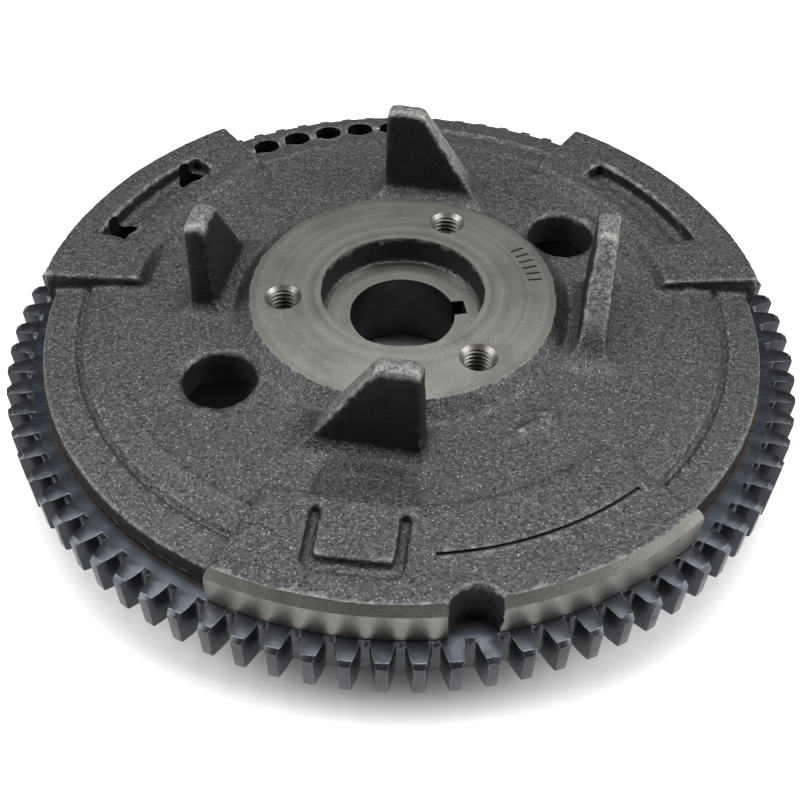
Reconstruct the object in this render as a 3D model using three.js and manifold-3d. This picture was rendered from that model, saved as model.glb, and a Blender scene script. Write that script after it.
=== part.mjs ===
// Flywheel of a small air-cooled engine: one iron casting, a shrunk-on starter ring gear, and the
// alternator magnets inside its rim. Millimetres, +Z up along the crankshaft axis towards the fan side,
// origin on that axis in the plane of the rim's bottom face. Angles are degrees from +X, anticlockwise
// seen from above.
import * as THREE from 'three';
import { mergeVertices } from 'three/addons/utils/BufferGeometryUtils.js';
import Module from 'manifold-3d';

const wasm = await Module();
wasm.setup();

// ---------------------------------------------------------------- driving dimensions

const AIR_GAP = 0.3; // between separate pieces that touch on the real object
const TURNED_FACETS = 96; // facets round a turned surface
const OVERLAP = 1; // how far joined or cutting bodies run past a face
const MERGE_DISTANCE = 1e-4; // vertices closer than this are one vertex

// Starter ring gear: standard tooth size, full-depth teeth with a raised addendum.
const TOOTH_COUNT = 84;
const TOOTH_MODULE = 2.25;
const TOOTH_SHIFT = 0.5;
const TOOTH_PHASE = 2.69;
const TOOTH_TIP_WIDTH = 2.2;
const TOOTH_ROOT_GAP = 2.0;
const TOOTH_FLANK_BULGE = 0.08; // how far an involute flank stands out at mid height
const TOOTH_TIP_CHAMFER = 0.7;
const GEAR_WIDTH = 9.6;
const GEAR_RIM_THICKNESS = 5.8; // iron between the teeth's roots and the gear's bore
const GEAR_BORE_CHAMFER = 0.6;

// Heights of the casting's upper faces above the shoulder that the ring gear stops against.
const SKIRT_BELOW_GEAR = 11.4;
const BAND_HEIGHT = 5.2;
const WEB_HEIGHT = 7;
const PAD_HEIGHT = 10;
const HUB_HEIGHT = 10.9;
const NUT_SEAT_HEIGHT = 2.8;
const FIN_HEIGHT = 31.8;
const WEB_THICKNESS = 9;

// Casting rim: each radius is counted from the ring gear's bore, outwards or inwards.
const SHOULDER_STAND_OUT = 1.5;
const PAD_STAND_OUT = 3.6;
const LAND_STAND_OUT = 4.7;
const GROOVE_INSET = 6.7;
const CAVITY_INSET = 12;
const RIDGE_INSET = 14.7;
const PAD_INSET = 21.2;
const BAND_DRAFT = 0.5;

// Shallow groove in the rim's upper face.
const GROOVE_WIDTH = 1.5;
const GROOVE_DEPTH = 0.7;
const GROOVE_DRAFT = 0.3;

// Casting hub.
const HUB_FACE_RADIUS = 37.8;
const HUB_SLOPE_RUN = 4.2;
const HUB_SKIRT_RADIUS = 25;
const HUB_RECESS = 2;
const HUB_FILLET = 3.5;
const EDGE_CHAMFER = 0.8;

// Crank fit: counterbore for the nut and washer, taper bore, key.
const COUNTERBORE_RADIUS = 20.4;
const COUNTERBORE_DRAFT = 0.5;
const NUT_SEAT_LEDGE = 0.64;
const NUT_SEAT_RISE = 0.7;
const BORE_TOP_RADIUS = 13.3;
const BORE_TAPER = 0.2; // on diameter, 1 in 5
const BORE_CHAMFER = 0.4;
const KEY_WIDTH = 5;
const KEYWAY_DEPTH = 3;
const KEY_ANGLE = 10.5;

// Three M8 tapped holes for the fan, the screen and the puller.
const TAP_COUNT = 3;
const TAP_THREAD_RADIUS = 4;
const TAP_DRILL_RADIUS = 3.4;
const TAP_CHAMFER_RADIUS = 5;
const TAP_CIRCLE_RADIUS = 29.6;
const TAP_ANGLE = -52.8;

// Two large holes through the web.
const WEB_HOLE_RADIUS = 9.2;
const WEB_HOLE_LIP = 1.5;
const WEB_HOLE_CIRCLE_RADIUS = 50.8;
const WEB_HOLE_ANGLES = [33.8, 213.8];

// Four cast fins: upright plates with one upright end and one sloping end.
const FIN_COUNT = 4;
const FIN_THICKNESS = 5.4;
const FIN_BEVEL = 1.2;
const FIN_CIRCLE_RADIUS = 47.3;
const FIN_LENGTH = 26.4;
const FIN_TOP_LENGTH = 8;
const FIN_CENTRE_ANGLE = -9.9;
const FIN_ROOT = 3;

// Raised pads on the rim.
const PAD_EDGE_CHAMFER = 0.6;
const BACK_PADS = [
  { from: 4.8, to: 56.3, pocket: { from: 17.5, to: 46, inset: 16.6, ledge: 4.6, width: 10.2 } },
  { from: 126.8, to: 177.2, pocket: { from: 136.5, to: 165, inset: 14.7, ledge: 4.2, width: 10.6 } },
];
const POCKET_LEDGE_DEPTH = 2;
const POCKET_TRENCH_DEPTH = 4;

// Front pad with the machined trigger land, split by a notch.
const TRIGGER_PAD = { from: -114.6, to: -46.8 };
const LAND_CHAMFER_RISE = 1.9;
const LAND_CHAMFER_RUN = 1.7;
const NOTCH_ANGLE = -80.2;
const NOTCH_CENTRE_STAND_OUT = 6.4;
const NOTCH_TOP_RADIUS = 7.4;
const NOTCH_BOTTOM_RADIUS = 6.2;
const ISLAND_ANGLE = -96.4;
const ISLAND_WIDTH = 16.4;
const ISLAND_INSET = 6.8;
const ISLAND_LENGTH = 12.7;
const ISLAND_GROOVE = 1.8;
const ISLAND_GROOVE_END = 3;
const ISLAND_GROOVE_DEPTH = 2.2;
const ISLAND_RAMP_LENGTH = 9; // slope from the web up to the island

// Balancing drillings.
const BALANCE_RADIUS = 3.8;
const BALANCE_INSET = 6.65;
const BALANCE_DEPTH_BELOW_SEAT = 5;
const BALANCE_POINT_HEIGHT = 1;
const BALANCE_POINT_RADIUS = 0.5;
const RIM_BALANCE = { first: 120.8, step: -6.95, count: 5 };
const POCKET_BALANCE_ANGLES = [160.7, 139.8];

// Alternator magnets, their cage and their sleeve.
const MAGNET_COUNT = 12;
const MAGNET_THICKNESS = 6.4;
const MAGNET_HEIGHT = 14;
const MAGNET_ARC = 26;
const CAGE_RING_HEIGHT = 1.4;
const SLEEVE_THICKNESS = 0.7;

// ---------------------------------------------------------------- derived sizes

const gearSeat = SKIRT_BELOW_GEAR + GEAR_WIDTH;
const tipRadius = TOOTH_MODULE * (TOOTH_COUNT / 2 + 1 + TOOTH_SHIFT);
const rootRadius = TOOTH_MODULE * (TOOTH_COUNT / 2 - 1.25 + TOOTH_SHIFT);
const bandTop = gearSeat + BAND_HEIGHT;
const webTop = gearSeat + WEB_HEIGHT;
const padTop = gearSeat + PAD_HEIGHT;
const hubTop = gearSeat + HUB_HEIGHT;
const nutSeat = gearSeat + NUT_SEAT_HEIGHT;
const finTop = gearSeat + FIN_HEIGHT;
const webBottom = webTop - WEB_THICKNESS;
const padRoot = webBottom + WEB_THICKNESS / 2;
const gearBoreRadius = rootRadius - GEAR_RIM_THICKNESS;
const rimSeatRadius = gearBoreRadius - AIR_GAP;
const shoulderRadius = gearBoreRadius + SHOULDER_STAND_OUT;
const padOuterRadius = gearBoreRadius + PAD_STAND_OUT;
const landRadius = gearBoreRadius + LAND_STAND_OUT;
const bandEdgeRadius = shoulderRadius - BAND_DRAFT - EDGE_CHAMFER;
const grooveRadius = gearBoreRadius - GROOVE_INSET;
const cavityRadius = gearBoreRadius - CAVITY_INSET;
const ridgeRadius = gearBoreRadius - RIDGE_INSET;
const padInnerRadius = gearBoreRadius - PAD_INSET;
const hubFootRadius = HUB_FACE_RADIUS + HUB_SLOPE_RUN;
const nutSeatRadius = COUNTERBORE_RADIUS - COUNTERBORE_DRAFT - NUT_SEAT_LEDGE;
const notchCircleRadius = gearBoreRadius + NOTCH_CENTRE_STAND_OUT;
const islandOuterRadius = gearBoreRadius - ISLAND_INSET;
const islandInnerRadius = islandOuterRadius - ISLAND_LENGTH;
const balanceCircleRadius = gearBoreRadius - BALANCE_INSET;
const boreBottomRadius = BORE_TOP_RADIUS + ((nutSeat - HUB_RECESS) * BORE_TAPER) / 2;
const magnetOuter = cavityRadius - AIR_GAP;
const magnetInner = magnetOuter - MAGNET_THICKNESS;
const cageTop = webBottom - AIR_GAP;
const magnetTop = cageTop - CAGE_RING_HEIGHT - AIR_GAP;
const magnetBottom = magnetTop - MAGNET_HEIGHT;
const cavityFillet = CAGE_RING_HEIGHT + AIR_GAP;
const cageOuter = cavityRadius - cavityFillet - AIR_GAP;
const sleeveOuter = magnetInner - AIR_GAP;

// ---------------------------------------------------------------- geometry helpers

const radians = THREE.MathUtils.degToRad;

/** Turn a closed three.js geometry into a solid, turned right side out. */
function solid(geometry) {
  const bare = geometry.clone();
  bare.deleteAttribute('normal');
  bare.deleteAttribute('uv');
  const merged = mergeVertices(bare, MERGE_DISTANCE);
  const position = merged.attributes.position;
  const corners = Array.from({ length: 3 }, () => new THREE.Vector3());
  const index = Array.from(merged.index.array);
  let volume = 0;
  const kept = [];
  for (let i = 0; i < index.length; i += 3) {
    const face = index.slice(i, i + 3);
    if (new Set(face).size < 3) continue; // collapsed facet on the axis
    corners.forEach((corner, k) => corner.fromBufferAttribute(position, face[k]));
    volume += corners[0].dot(corners[1].cross(corners[2]));
    kept.push(face);
  }
  const faces = volume < 0 ? kept.map(([a, b, c]) => [a, c, b]) : kept;
  return new wasm.Manifold(new wasm.Mesh({
    numProp: 3,
    vertProperties: new Float32Array(position.array),
    triVerts: new Uint32Array(faces.flat()),
  }));
}

/** Read a solid back as a three.js geometry. */
function geometryOf(body) {
  const mesh = body.getMesh();
  const geometry = new THREE.BufferGeometry();
  geometry.setAttribute('position', new THREE.BufferAttribute(mesh.vertProperties, 3));
  geometry.setIndex(new THREE.BufferAttribute(mesh.triVerts, 1));
  const flat = geometry.toNonIndexed();
  flat.computeVertexNormals();
  return flat;
}

/** Turn a closed outline of [radius, height] points about Z. */
function turned(outline, facets = TURNED_FACETS) {
  const points = [...outline, outline[0]].map(([r, z]) => new THREE.Vector2(r, z));
  return solid(new THREE.LatheGeometry(points, facets).rotateX(Math.PI / 2));
}

/** Upright extrusion of a shape between two heights. */
function prism(shape, bottom, top, curveSegments = 12) {
  const options = { depth: top - bottom, bevelEnabled: false, curveSegments };
  return solid(new THREE.ExtrudeGeometry(shape, options).translate(0, 0, bottom));
}

/** Upright cylinder or cone on a vertical axis at a radius and an angle. */
function drill(bottomRadius, topRadius, bottom, top, circleRadius, angle, facets = 24) {
  const geometry = new THREE.CylinderGeometry(topRadius, bottomRadius, top - bottom, facets);
  geometry.rotateX(Math.PI / 2);
  geometry.translate(circleRadius, 0, (bottom + top) / 2);
  geometry.rotateZ(radians(angle));
  return solid(geometry);
}

/** Ring sector between two radii, two angles and two heights. */
function sector(inner, outer, from, to, bottom, top) {
  const shape = new THREE.Shape();
  shape.absarc(0, 0, outer, radians(from), radians(to), false);
  shape.absarc(0, 0, inner, radians(to), radians(from), true);
  const segments = Math.max(2, Math.ceil((to - from) / (360 / TURNED_FACETS)));
  return prism(shape, bottom, top, segments);
}

/** Block that points along a radius: from one radius to another, centred on an angle. */
function radialBlock(inner, outer, width, bottom, top, angle) {
  const geometry = new THREE.BoxGeometry(outer - inner, width, top - bottom);
  geometry.translate((inner + outer) / 2, 0, (bottom + top) / 2);
  geometry.rotateZ(radians(angle));
  return solid(geometry);
}

/** Named mesh with its own material. */
function piece(name, body, colour, roughness, metalness) {
  const material = new THREE.MeshStandardMaterial({ color: colour, roughness, metalness });
  const mesh = new THREE.Mesh(geometryOf(body), material);
  mesh.name = name;
  return mesh;
}

// ---------------------------------------------------------------- flywheel casting

/** Height of the rim's upper face, which falls from the ridge to the outer edge. */
function rimTopAt(radius) {
  const share = (bandEdgeRadius - radius) / (bandEdgeRadius - ridgeRadius);
  return bandTop + share * (webTop - bandTop);
}

/** Turned body: rim, web and hub with the counterbore and the taper bore. */
function castingBody() {
  const grooveInnerRadius = grooveRadius - GROOVE_WIDTH;
  const grooveBottom = rimTopAt(grooveRadius) - GROOVE_DEPTH;
  const outline = [
    [boreBottomRadius, HUB_RECESS],
    [HUB_SKIRT_RADIUS - EDGE_CHAMFER, HUB_RECESS],
    [HUB_SKIRT_RADIUS, HUB_RECESS + EDGE_CHAMFER],
    [HUB_SKIRT_RADIUS, webBottom - HUB_FILLET],
    [HUB_SKIRT_RADIUS + HUB_FILLET, webBottom],
    [cavityRadius - cavityFillet, webBottom],
    [cavityRadius, webBottom - cavityFillet],
    [cavityRadius, EDGE_CHAMFER],
    [cavityRadius + EDGE_CHAMFER, 0],
    [rimSeatRadius - EDGE_CHAMFER, 0],
    [rimSeatRadius, EDGE_CHAMFER],
    [rimSeatRadius, gearSeat],
    [shoulderRadius, gearSeat],
    [shoulderRadius - BAND_DRAFT, bandTop - EDGE_CHAMFER],
    [bandEdgeRadius, bandTop],
    [grooveRadius, rimTopAt(grooveRadius)],
    [grooveRadius - GROOVE_DRAFT, grooveBottom],
    [grooveInnerRadius + GROOVE_DRAFT, grooveBottom],
    [grooveInnerRadius, rimTopAt(grooveInnerRadius)],
    [ridgeRadius, webTop],
    [hubFootRadius, webTop],
    [HUB_FACE_RADIUS + EDGE_CHAMFER, hubTop - EDGE_CHAMFER],
    [HUB_FACE_RADIUS, hubTop],
    [COUNTERBORE_RADIUS, hubTop],
    [COUNTERBORE_RADIUS - COUNTERBORE_DRAFT, nutSeat + NUT_SEAT_RISE],
    [nutSeatRadius, nutSeat],
    [BORE_TOP_RADIUS + BORE_CHAMFER, nutSeat],
    [BORE_TOP_RADIUS, nutSeat - BORE_CHAMFER],
  ];
  return turned(outline);
}

/** One fin: a bevelled upright plate whose anticlockwise end is upright. */
function fin(angle) {
  const half = FIN_LENGTH / 2;
  const root = webTop - FIN_ROOT;
  const shape = new THREE.Shape();
  shape.moveTo(-half + FIN_BEVEL, root);
  shape.lineTo(half - FIN_BEVEL, root);
  shape.lineTo(half - FIN_BEVEL, finTop - FIN_BEVEL);
  shape.lineTo(half - FIN_TOP_LENGTH, finTop - FIN_BEVEL);
  shape.lineTo(-half + FIN_BEVEL, webTop + FIN_BEVEL);
  const geometry = new THREE.ExtrudeGeometry(shape, {
    depth: FIN_THICKNESS - 2 * FIN_BEVEL,
    bevelSize: FIN_BEVEL,
    bevelThickness: FIN_BEVEL,
    bevelSegments: 2,
  });
  geometry.translate(0, 0, -(FIN_THICKNESS / 2 - FIN_BEVEL));
  geometry.rotateX(Math.PI / 2); // shape height becomes Z, thickness lies along Y
  geometry.rotateZ(Math.PI / 2); // length lies along the tangent
  geometry.translate(FIN_CIRCLE_RADIUS, 0, 0);
  geometry.rotateZ(radians(angle));
  return solid(geometry);
}

/** Turned ring that a pad is cut from, with its outer edge profile. */
function padRing(outerRadius, chamferRun, chamferRise) {
  return turned([
    [padInnerRadius, padRoot],
    [rimSeatRadius - OVERLAP, padRoot],
    [rimSeatRadius - OVERLAP, gearSeat],
    [outerRadius, gearSeat],
    [outerRadius, padTop - chamferRise],
    [outerRadius - chamferRun, padTop],
    [padInnerRadius, padTop],
  ]);
}

/** Sector block that cuts a pad out of its turned ring. */
function padWedge(from, to) {
  const outer = Math.max(landRadius, padOuterRadius) + 4 * OVERLAP; // clears the facets' sagitta
  return sector(padInnerRadius - OVERLAP, outer, from, to, 0, padTop + OVERLAP);
}

/** Pocket of a back pad: a shallow ledge and a deeper trench beside the rim. */
function cutPocket(body, pocket) {
  const inner = gearBoreRadius - pocket.inset;
  const outer = inner + pocket.width;
  const ledge = sector(inner, outer, pocket.from, pocket.to,
    padTop - POCKET_LEDGE_DEPTH, padTop + OVERLAP);
  const trench = sector(inner + pocket.ledge, outer, pocket.from, pocket.to,
    padTop - POCKET_TRENCH_DEPTH, padTop + OVERLAP);
  return body.subtract(ledge).subtract(trench);
}

/** Groove round three sides of the small raised island on the trigger pad. */
function cutIslandGroove(body) {
  const bottom = padTop - ISLAND_GROOVE_DEPTH;
  const top = padTop + OVERLAP;
  const groove = radialBlock(islandInnerRadius, islandOuterRadius + ISLAND_GROOVE_END,
    ISLAND_WIDTH + 2 * ISLAND_GROOVE, bottom, top, ISLAND_ANGLE);
  const island = radialBlock(islandInnerRadius - OVERLAP, islandOuterRadius,
    ISLAND_WIDTH, bottom - OVERLAP, top + OVERLAP, ISLAND_ANGLE);
  return body.subtract(groove.subtract(island));
}

/** Slope that runs from the web up to the island, as wide as the island and its grooves. */
function islandRamp() {
  const width = ISLAND_WIDTH + 2 * ISLAND_GROOVE;
  const shape = new THREE.Shape();
  shape.moveTo(islandInnerRadius - ISLAND_RAMP_LENGTH, webTop);
  shape.lineTo(islandInnerRadius - ISLAND_RAMP_LENGTH, webTop - OVERLAP);
  shape.lineTo(islandInnerRadius + OVERLAP / 2, webTop - OVERLAP);
  shape.lineTo(islandInnerRadius + OVERLAP / 2, padTop);
  shape.lineTo(islandInnerRadius, padTop);
  const geometry = new THREE.ExtrudeGeometry(shape, { depth: width, bevelEnabled: false });
  geometry.rotateX(Math.PI / 2); // shape height becomes Z, width lies along Y
  geometry.translate(0, width / 2, 0);
  geometry.rotateZ(radians(ISLAND_ANGLE));
  return solid(geometry);
}

/** Notch in the trigger land, down to the ring gear. */
function notch() {
  return drill(NOTCH_BOTTOM_RADIUS, NOTCH_TOP_RADIUS, gearSeat - AIR_GAP, padTop + OVERLAP,
    notchCircleRadius, NOTCH_ANGLE, 32);
}

/** Blind balancing hole with a drill point, from above down into the rim's wall. */
function balanceHole(angle) {
  const floor = gearSeat - BALANCE_DEPTH_BELOW_SEAT;
  const shoulder = floor + BALANCE_POINT_HEIGHT;
  const bore = drill(BALANCE_RADIUS, BALANCE_RADIUS, shoulder, padTop + OVERLAP,
    balanceCircleRadius, angle, 20);
  const point = drill(BALANCE_POINT_RADIUS, BALANCE_RADIUS, floor, shoulder,
    balanceCircleRadius, angle, 20);
  return bore.add(point);
}

/** Tapped hole at its thread's mean radius, with a countersunk mouth. */
function tappedHole(angle) {
  const threadRadius = (TAP_DRILL_RADIUS + TAP_THREAD_RADIUS) / 2;
  const bottom = webBottom - HUB_FILLET - OVERLAP;
  const shaft = drill(threadRadius, threadRadius, bottom, hubTop + OVERLAP, TAP_CIRCLE_RADIUS, angle);
  const depth = TAP_CHAMFER_RADIUS - threadRadius;
  const mouth = drill(threadRadius, TAP_CHAMFER_RADIUS + OVERLAP, hubTop - depth, hubTop + OVERLAP,
    TAP_CIRCLE_RADIUS, angle);
  return shaft.add(mouth);
}

/** Large hole through the web with a widened mouth. */
function webHole(angle) {
  const shaft = drill(WEB_HOLE_RADIUS, WEB_HOLE_RADIUS, webBottom - OVERLAP, webTop + OVERLAP,
    WEB_HOLE_CIRCLE_RADIUS, angle, 32);
  const mouth = drill(WEB_HOLE_RADIUS, WEB_HOLE_RADIUS + WEB_HOLE_LIP + OVERLAP, webTop - WEB_HOLE_LIP,
    webTop + OVERLAP, WEB_HOLE_CIRCLE_RADIUS, angle, 32);
  return shaft.add(mouth);
}

/** Keyway: parallel with the bore's axis, through the hub. */
function keyway() {
  return radialBlock(BORE_TOP_RADIUS / 2, BORE_TOP_RADIUS + KEYWAY_DEPTH, KEY_WIDTH,
    HUB_RECESS - OVERLAP, nutSeat + OVERLAP, KEY_ANGLE);
}

function makeCasting() {
  let body = castingBody();
  for (let i = 0; i < FIN_COUNT; i += 1) {
    body = body.add(fin(FIN_CENTRE_ANGLE + (i * 360) / FIN_COUNT));
  }
  for (const pad of BACK_PADS) {
    const ring = padRing(padOuterRadius, PAD_EDGE_CHAMFER, PAD_EDGE_CHAMFER);
    body = body.add(ring.intersect(padWedge(pad.from, pad.to)));
    body = cutPocket(body, pad.pocket);
  }
  const land = padRing(landRadius, LAND_CHAMFER_RUN, LAND_CHAMFER_RISE);
  body = body.add(land.intersect(padWedge(TRIGGER_PAD.from, TRIGGER_PAD.to)));
  body = cutIslandGroove(body).add(islandRamp()).subtract(notch()).subtract(keyway());
  for (let i = 0; i < TAP_COUNT; i += 1) {
    body = body.subtract(tappedHole(TAP_ANGLE + (i * 360) / TAP_COUNT));
  }
  for (const angle of WEB_HOLE_ANGLES) body = body.subtract(webHole(angle));
  for (const angle of POCKET_BALANCE_ANGLES) body = body.subtract(balanceHole(angle));
  for (let i = 0; i < RIM_BALANCE.count; i += 1) {
    body = body.subtract(balanceHole(RIM_BALANCE.first + i * RIM_BALANCE.step));
  }
  return body;
}

// ---------------------------------------------------------------- ring gear

/** Outline of all teeth: root, mid-flank and tip on both sides of each tooth. */
function toothOutline() {
  const pitch = (2 * Math.PI) / TOOTH_COUNT;
  const rootHalf = pitch / 2 - TOOTH_ROOT_GAP / 2 / rootRadius;
  const tipHalf = TOOTH_TIP_WIDTH / 2 / tipRadius;
  const midRadius = (rootRadius + tipRadius) / 2;
  const midHalf = (rootHalf + tipHalf) / 2 + TOOTH_FLANK_BULGE / midRadius;
  const flank = [[rootRadius, rootHalf], [midRadius, midHalf], [tipRadius, tipHalf]];
  const tooth = [...flank.map(([r, a]) => [r, -a]), ...flank.reverse()];
  const points = [];
  for (let i = 0; i < TOOTH_COUNT; i += 1) {
    const centre = radians(TOOTH_PHASE) + i * pitch;
    for (const [r, a] of tooth) {
      points.push(new THREE.Vector2(r * Math.cos(centre + a), r * Math.sin(centre + a)));
    }
  }
  return points;
}

/** Toothed extrusion cut from a turned blank, which gives the chamfers. */
function makeRingGear() {
  const bottom = gearSeat - AIR_GAP - GEAR_WIDTH;
  const top = gearSeat - AIR_GAP;
  const shape = new THREE.Shape(toothOutline());
  shape.holes.push(new THREE.Path().absarc(0, 0, gearBoreRadius - OVERLAP, 0, 2 * Math.PI, true));
  const teeth = prism(shape, bottom - OVERLAP, top + OVERLAP, 24);
  const blankRadius = tipRadius + TOOTH_TIP_CHAMFER / 2;
  const blank = turned([
    [gearBoreRadius + GEAR_BORE_CHAMFER, bottom],
    [blankRadius, bottom],
    [blankRadius, top - TOOTH_TIP_CHAMFER],
    [blankRadius - 1.5 * TOOTH_TIP_CHAMFER, top],
    [gearBoreRadius, top],
    [gearBoreRadius, bottom + GEAR_BORE_CHAMFER],
  ]);
  return blank.intersect(teeth);
}

// ---------------------------------------------------------------- alternator magnets

function magnetAngle(i) {
  return (i * 360) / MAGNET_COUNT;
}

function makeMagnet(i) {
  const middle = magnetAngle(i);
  return sector(magnetInner, magnetOuter, middle - MAGNET_ARC / 2, middle + MAGNET_ARC / 2,
    magnetBottom, magnetTop);
}

/** Cage: a ring over the magnets with a finger down between each pair. */
function makeCage() {
  const ringBottom = magnetTop + AIR_GAP;
  let cage = turned([
    [magnetInner, ringBottom],
    [cageOuter, ringBottom],
    [cageOuter, cageTop],
    [magnetInner, cageTop],
  ]);
  const spare = 360 / MAGNET_COUNT - MAGNET_ARC;
  const fingerHalf = spare / 2 - THREE.MathUtils.radToDeg(AIR_GAP / magnetInner);
  const clear = AIR_GAP / 2;
  for (let i = 0; i < MAGNET_COUNT; i += 1) {
    const middle = magnetAngle(i + 0.5);
    const finger = sector(magnetInner + clear, cageOuter - clear,
      middle - fingerHalf, middle + fingerHalf, magnetBottom, ringBottom + clear);
    cage = cage.add(finger);
  }
  return cage;
}

function makeSleeve() {
  const inner = sleeveOuter - SLEEVE_THICKNESS;
  return turned([
    [inner, magnetBottom],
    [sleeveOuter, magnetBottom],
    [sleeveOuter, cageTop],
    [inner, cageTop],
  ]);
}

// ---------------------------------------------------------------- assembly

const flywheel = new THREE.Group();
flywheel.add(piece('flywheel_casting', makeCasting(), 0x4c4c4b, 0.75, 0.6));
flywheel.add(piece('ring_gear', makeRingGear(), 0x34363b, 0.4, 0.9));
flywheel.add(piece('magnet_cage', makeCage(), 0x2a2b2d, 0.6, 0));
flywheel.add(piece('magnet_sleeve', makeSleeve(), 0xb4b6b8, 0.3, 1));
for (let i = 0; i < MAGNET_COUNT; i += 1) {
  const name = `magnet_${String(i + 1).padStart(2, '0')}`;
  flywheel.add(piece(name, makeMagnet(i), 0x5a5c60, 0.45, 0.7));
}

export default flywheel;
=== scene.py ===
"""Flywheel of a small air-cooled engine, made the way the real one is made.

The iron casting starts as a rough blank (rim, web, hub, fins and pads run together and softened like
sand-cast iron) and is then machined: faced hub, turned trigger land, bored hub, drilled and tapped
holes. The ring gear is turned and hobbed, and the magnets sit in their cage inside the rim.

Sizes are millimetres until a piece is finished, and metres from then on.
"""

from __future__ import annotations

import logging
import math
from dataclasses import dataclass, field
from enum import Enum
from typing import Callable, Iterable, Sequence

import bmesh
import bpy
from mathutils import Matrix, Vector, noise


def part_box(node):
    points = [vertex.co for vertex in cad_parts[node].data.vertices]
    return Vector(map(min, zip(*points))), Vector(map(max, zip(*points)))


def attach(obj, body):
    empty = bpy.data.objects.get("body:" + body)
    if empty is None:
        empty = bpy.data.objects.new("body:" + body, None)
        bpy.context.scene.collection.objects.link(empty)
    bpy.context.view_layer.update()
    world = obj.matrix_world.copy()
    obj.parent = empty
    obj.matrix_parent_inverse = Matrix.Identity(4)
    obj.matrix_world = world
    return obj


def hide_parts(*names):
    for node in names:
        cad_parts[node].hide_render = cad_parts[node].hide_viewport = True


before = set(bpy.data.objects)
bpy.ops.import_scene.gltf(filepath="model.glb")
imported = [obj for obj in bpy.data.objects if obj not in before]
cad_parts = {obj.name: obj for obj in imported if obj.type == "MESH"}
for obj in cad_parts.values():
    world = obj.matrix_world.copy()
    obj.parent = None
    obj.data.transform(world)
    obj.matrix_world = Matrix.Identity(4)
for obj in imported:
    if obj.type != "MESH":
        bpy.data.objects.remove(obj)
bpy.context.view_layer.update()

LOG = logging.getLogger("flywheel")
MM = 0.001
WELD = 1e-4
TURN_STEPS = 192

Outline = Sequence[tuple[float, float]]


# ------------------------------------------------------------------ main surfaces


@dataclass(frozen=True)
class Datum:
    """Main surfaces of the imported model, in millimetres."""

    gear_bottom: float
    gear_top: float
    fin_top: float
    tip_radius: float
    contact_gap: float = 0.3

    @classmethod
    def from_frame(cls) -> "Datum":
        """Read the surfaces from the frame's boxes.

        Returns:
            The datum that every other height is counted from.
        """
        gear_low, gear_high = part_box("ring_gear")
        _, casting_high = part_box("flywheel_casting")
        return cls(
            gear_bottom=gear_low[2] / MM,
            gear_top=gear_high[2] / MM,
            fin_top=casting_high[2] / MM,
            tip_radius=(gear_high[0] - gear_low[0]) / 2 / MM,
        )

    @property
    def shoulder(self) -> float:
        """Height of the casting's shoulder, which the ring gear stops against."""
        return self.gear_top + self.contact_gap


# ------------------------------------------------------------------ mesh tools


class Cut(Enum):
    """How a tool acts on a body."""

    JOIN = "UNION"
    REMOVE = "DIFFERENCE"
    KEEP = "INTERSECT"


def polar(radius: float, degrees: float, height: float = 0.0) -> Vector:
    """Return the point at a radius, an angle and a height."""
    angle = math.radians(degrees)
    return Vector((radius * math.cos(angle), radius * math.sin(angle), height))


def about_z(degrees: float) -> Matrix:
    """Return the turn about Z by an angle in degrees."""
    return Matrix.Rotation(math.radians(degrees), 4, "Z")


def revolve(outline: Outline, start: float = 0.0, sweep: float = 360.0, steps: int = TURN_STEPS) -> bmesh.types.BMesh:
    """Spin a closed outline of radius and height about Z.

    Args:
        outline: Corners of the section, as radius and height.
        start: Angle where the sweep starts, in degrees.
        sweep: Angle swept, in degrees.
        steps: Number of facets over the sweep.

    Returns:
        A closed body.
    """
    bm = bmesh.new()
    points = [bm.verts.new(polar(radius, start, height)) for radius, height in outline]
    whole = sweep >= 360.0
    if whole:
        edges = [bm.edges.new(pair) for pair in zip(points, points[1:] + points[:1])]
        geom = points + edges
    else:
        face = bm.faces.new(points)
        geom = points + list(face.edges) + [face]
    bmesh.ops.spin(
        bm, geom=geom, cent=(0, 0, 0), axis=(0, 0, 1), angle=math.radians(sweep), steps=steps,
        use_merge=whole, use_duplicate=False,
    )
    bmesh.ops.remove_doubles(bm, verts=bm.verts, dist=WELD)
    bmesh.ops.recalc_face_normals(bm, faces=bm.faces)
    return bm


def block(low: Sequence[float], high: Sequence[float], turn: float = 0.0) -> bmesh.types.BMesh:
    """Make a box between two corners, turned about Z.

    Args:
        low: Lowest corner.
        high: Highest corner.
        turn: Turn about Z in degrees.

    Returns:
        A closed body.
    """
    bm = bmesh.new()
    size = [b - a for a, b in zip(low, high)]
    centre = [(a + b) / 2 for a, b in zip(low, high)]
    matrix = about_z(turn) @ Matrix.Translation(centre) @ Matrix.Diagonal((*size, 1.0))
    bmesh.ops.create_cube(bm, size=1.0, matrix=matrix)
    return bm


def cone(at: Vector, bottom_radius: float, top_radius: float, bottom: float, top: float, segments: int = 64) -> bmesh.types.BMesh:
    """Make an upright cylinder or cone.

    Args:
        at: Point on its axis; only X and Y are used.
        bottom_radius: Radius at the bottom.
        top_radius: Radius at the top.
        bottom: Height of the bottom.
        top: Height of the top.
        segments: Facets round it.

    Returns:
        A closed body.
    """
    bm = bmesh.new()
    matrix = Matrix.Translation((at.x, at.y, (bottom + top) / 2))
    bmesh.ops.create_cone(
        bm, cap_ends=True, segments=segments, radius1=bottom_radius, radius2=top_radius,
        depth=top - bottom, matrix=matrix,
    )
    return bm


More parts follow.
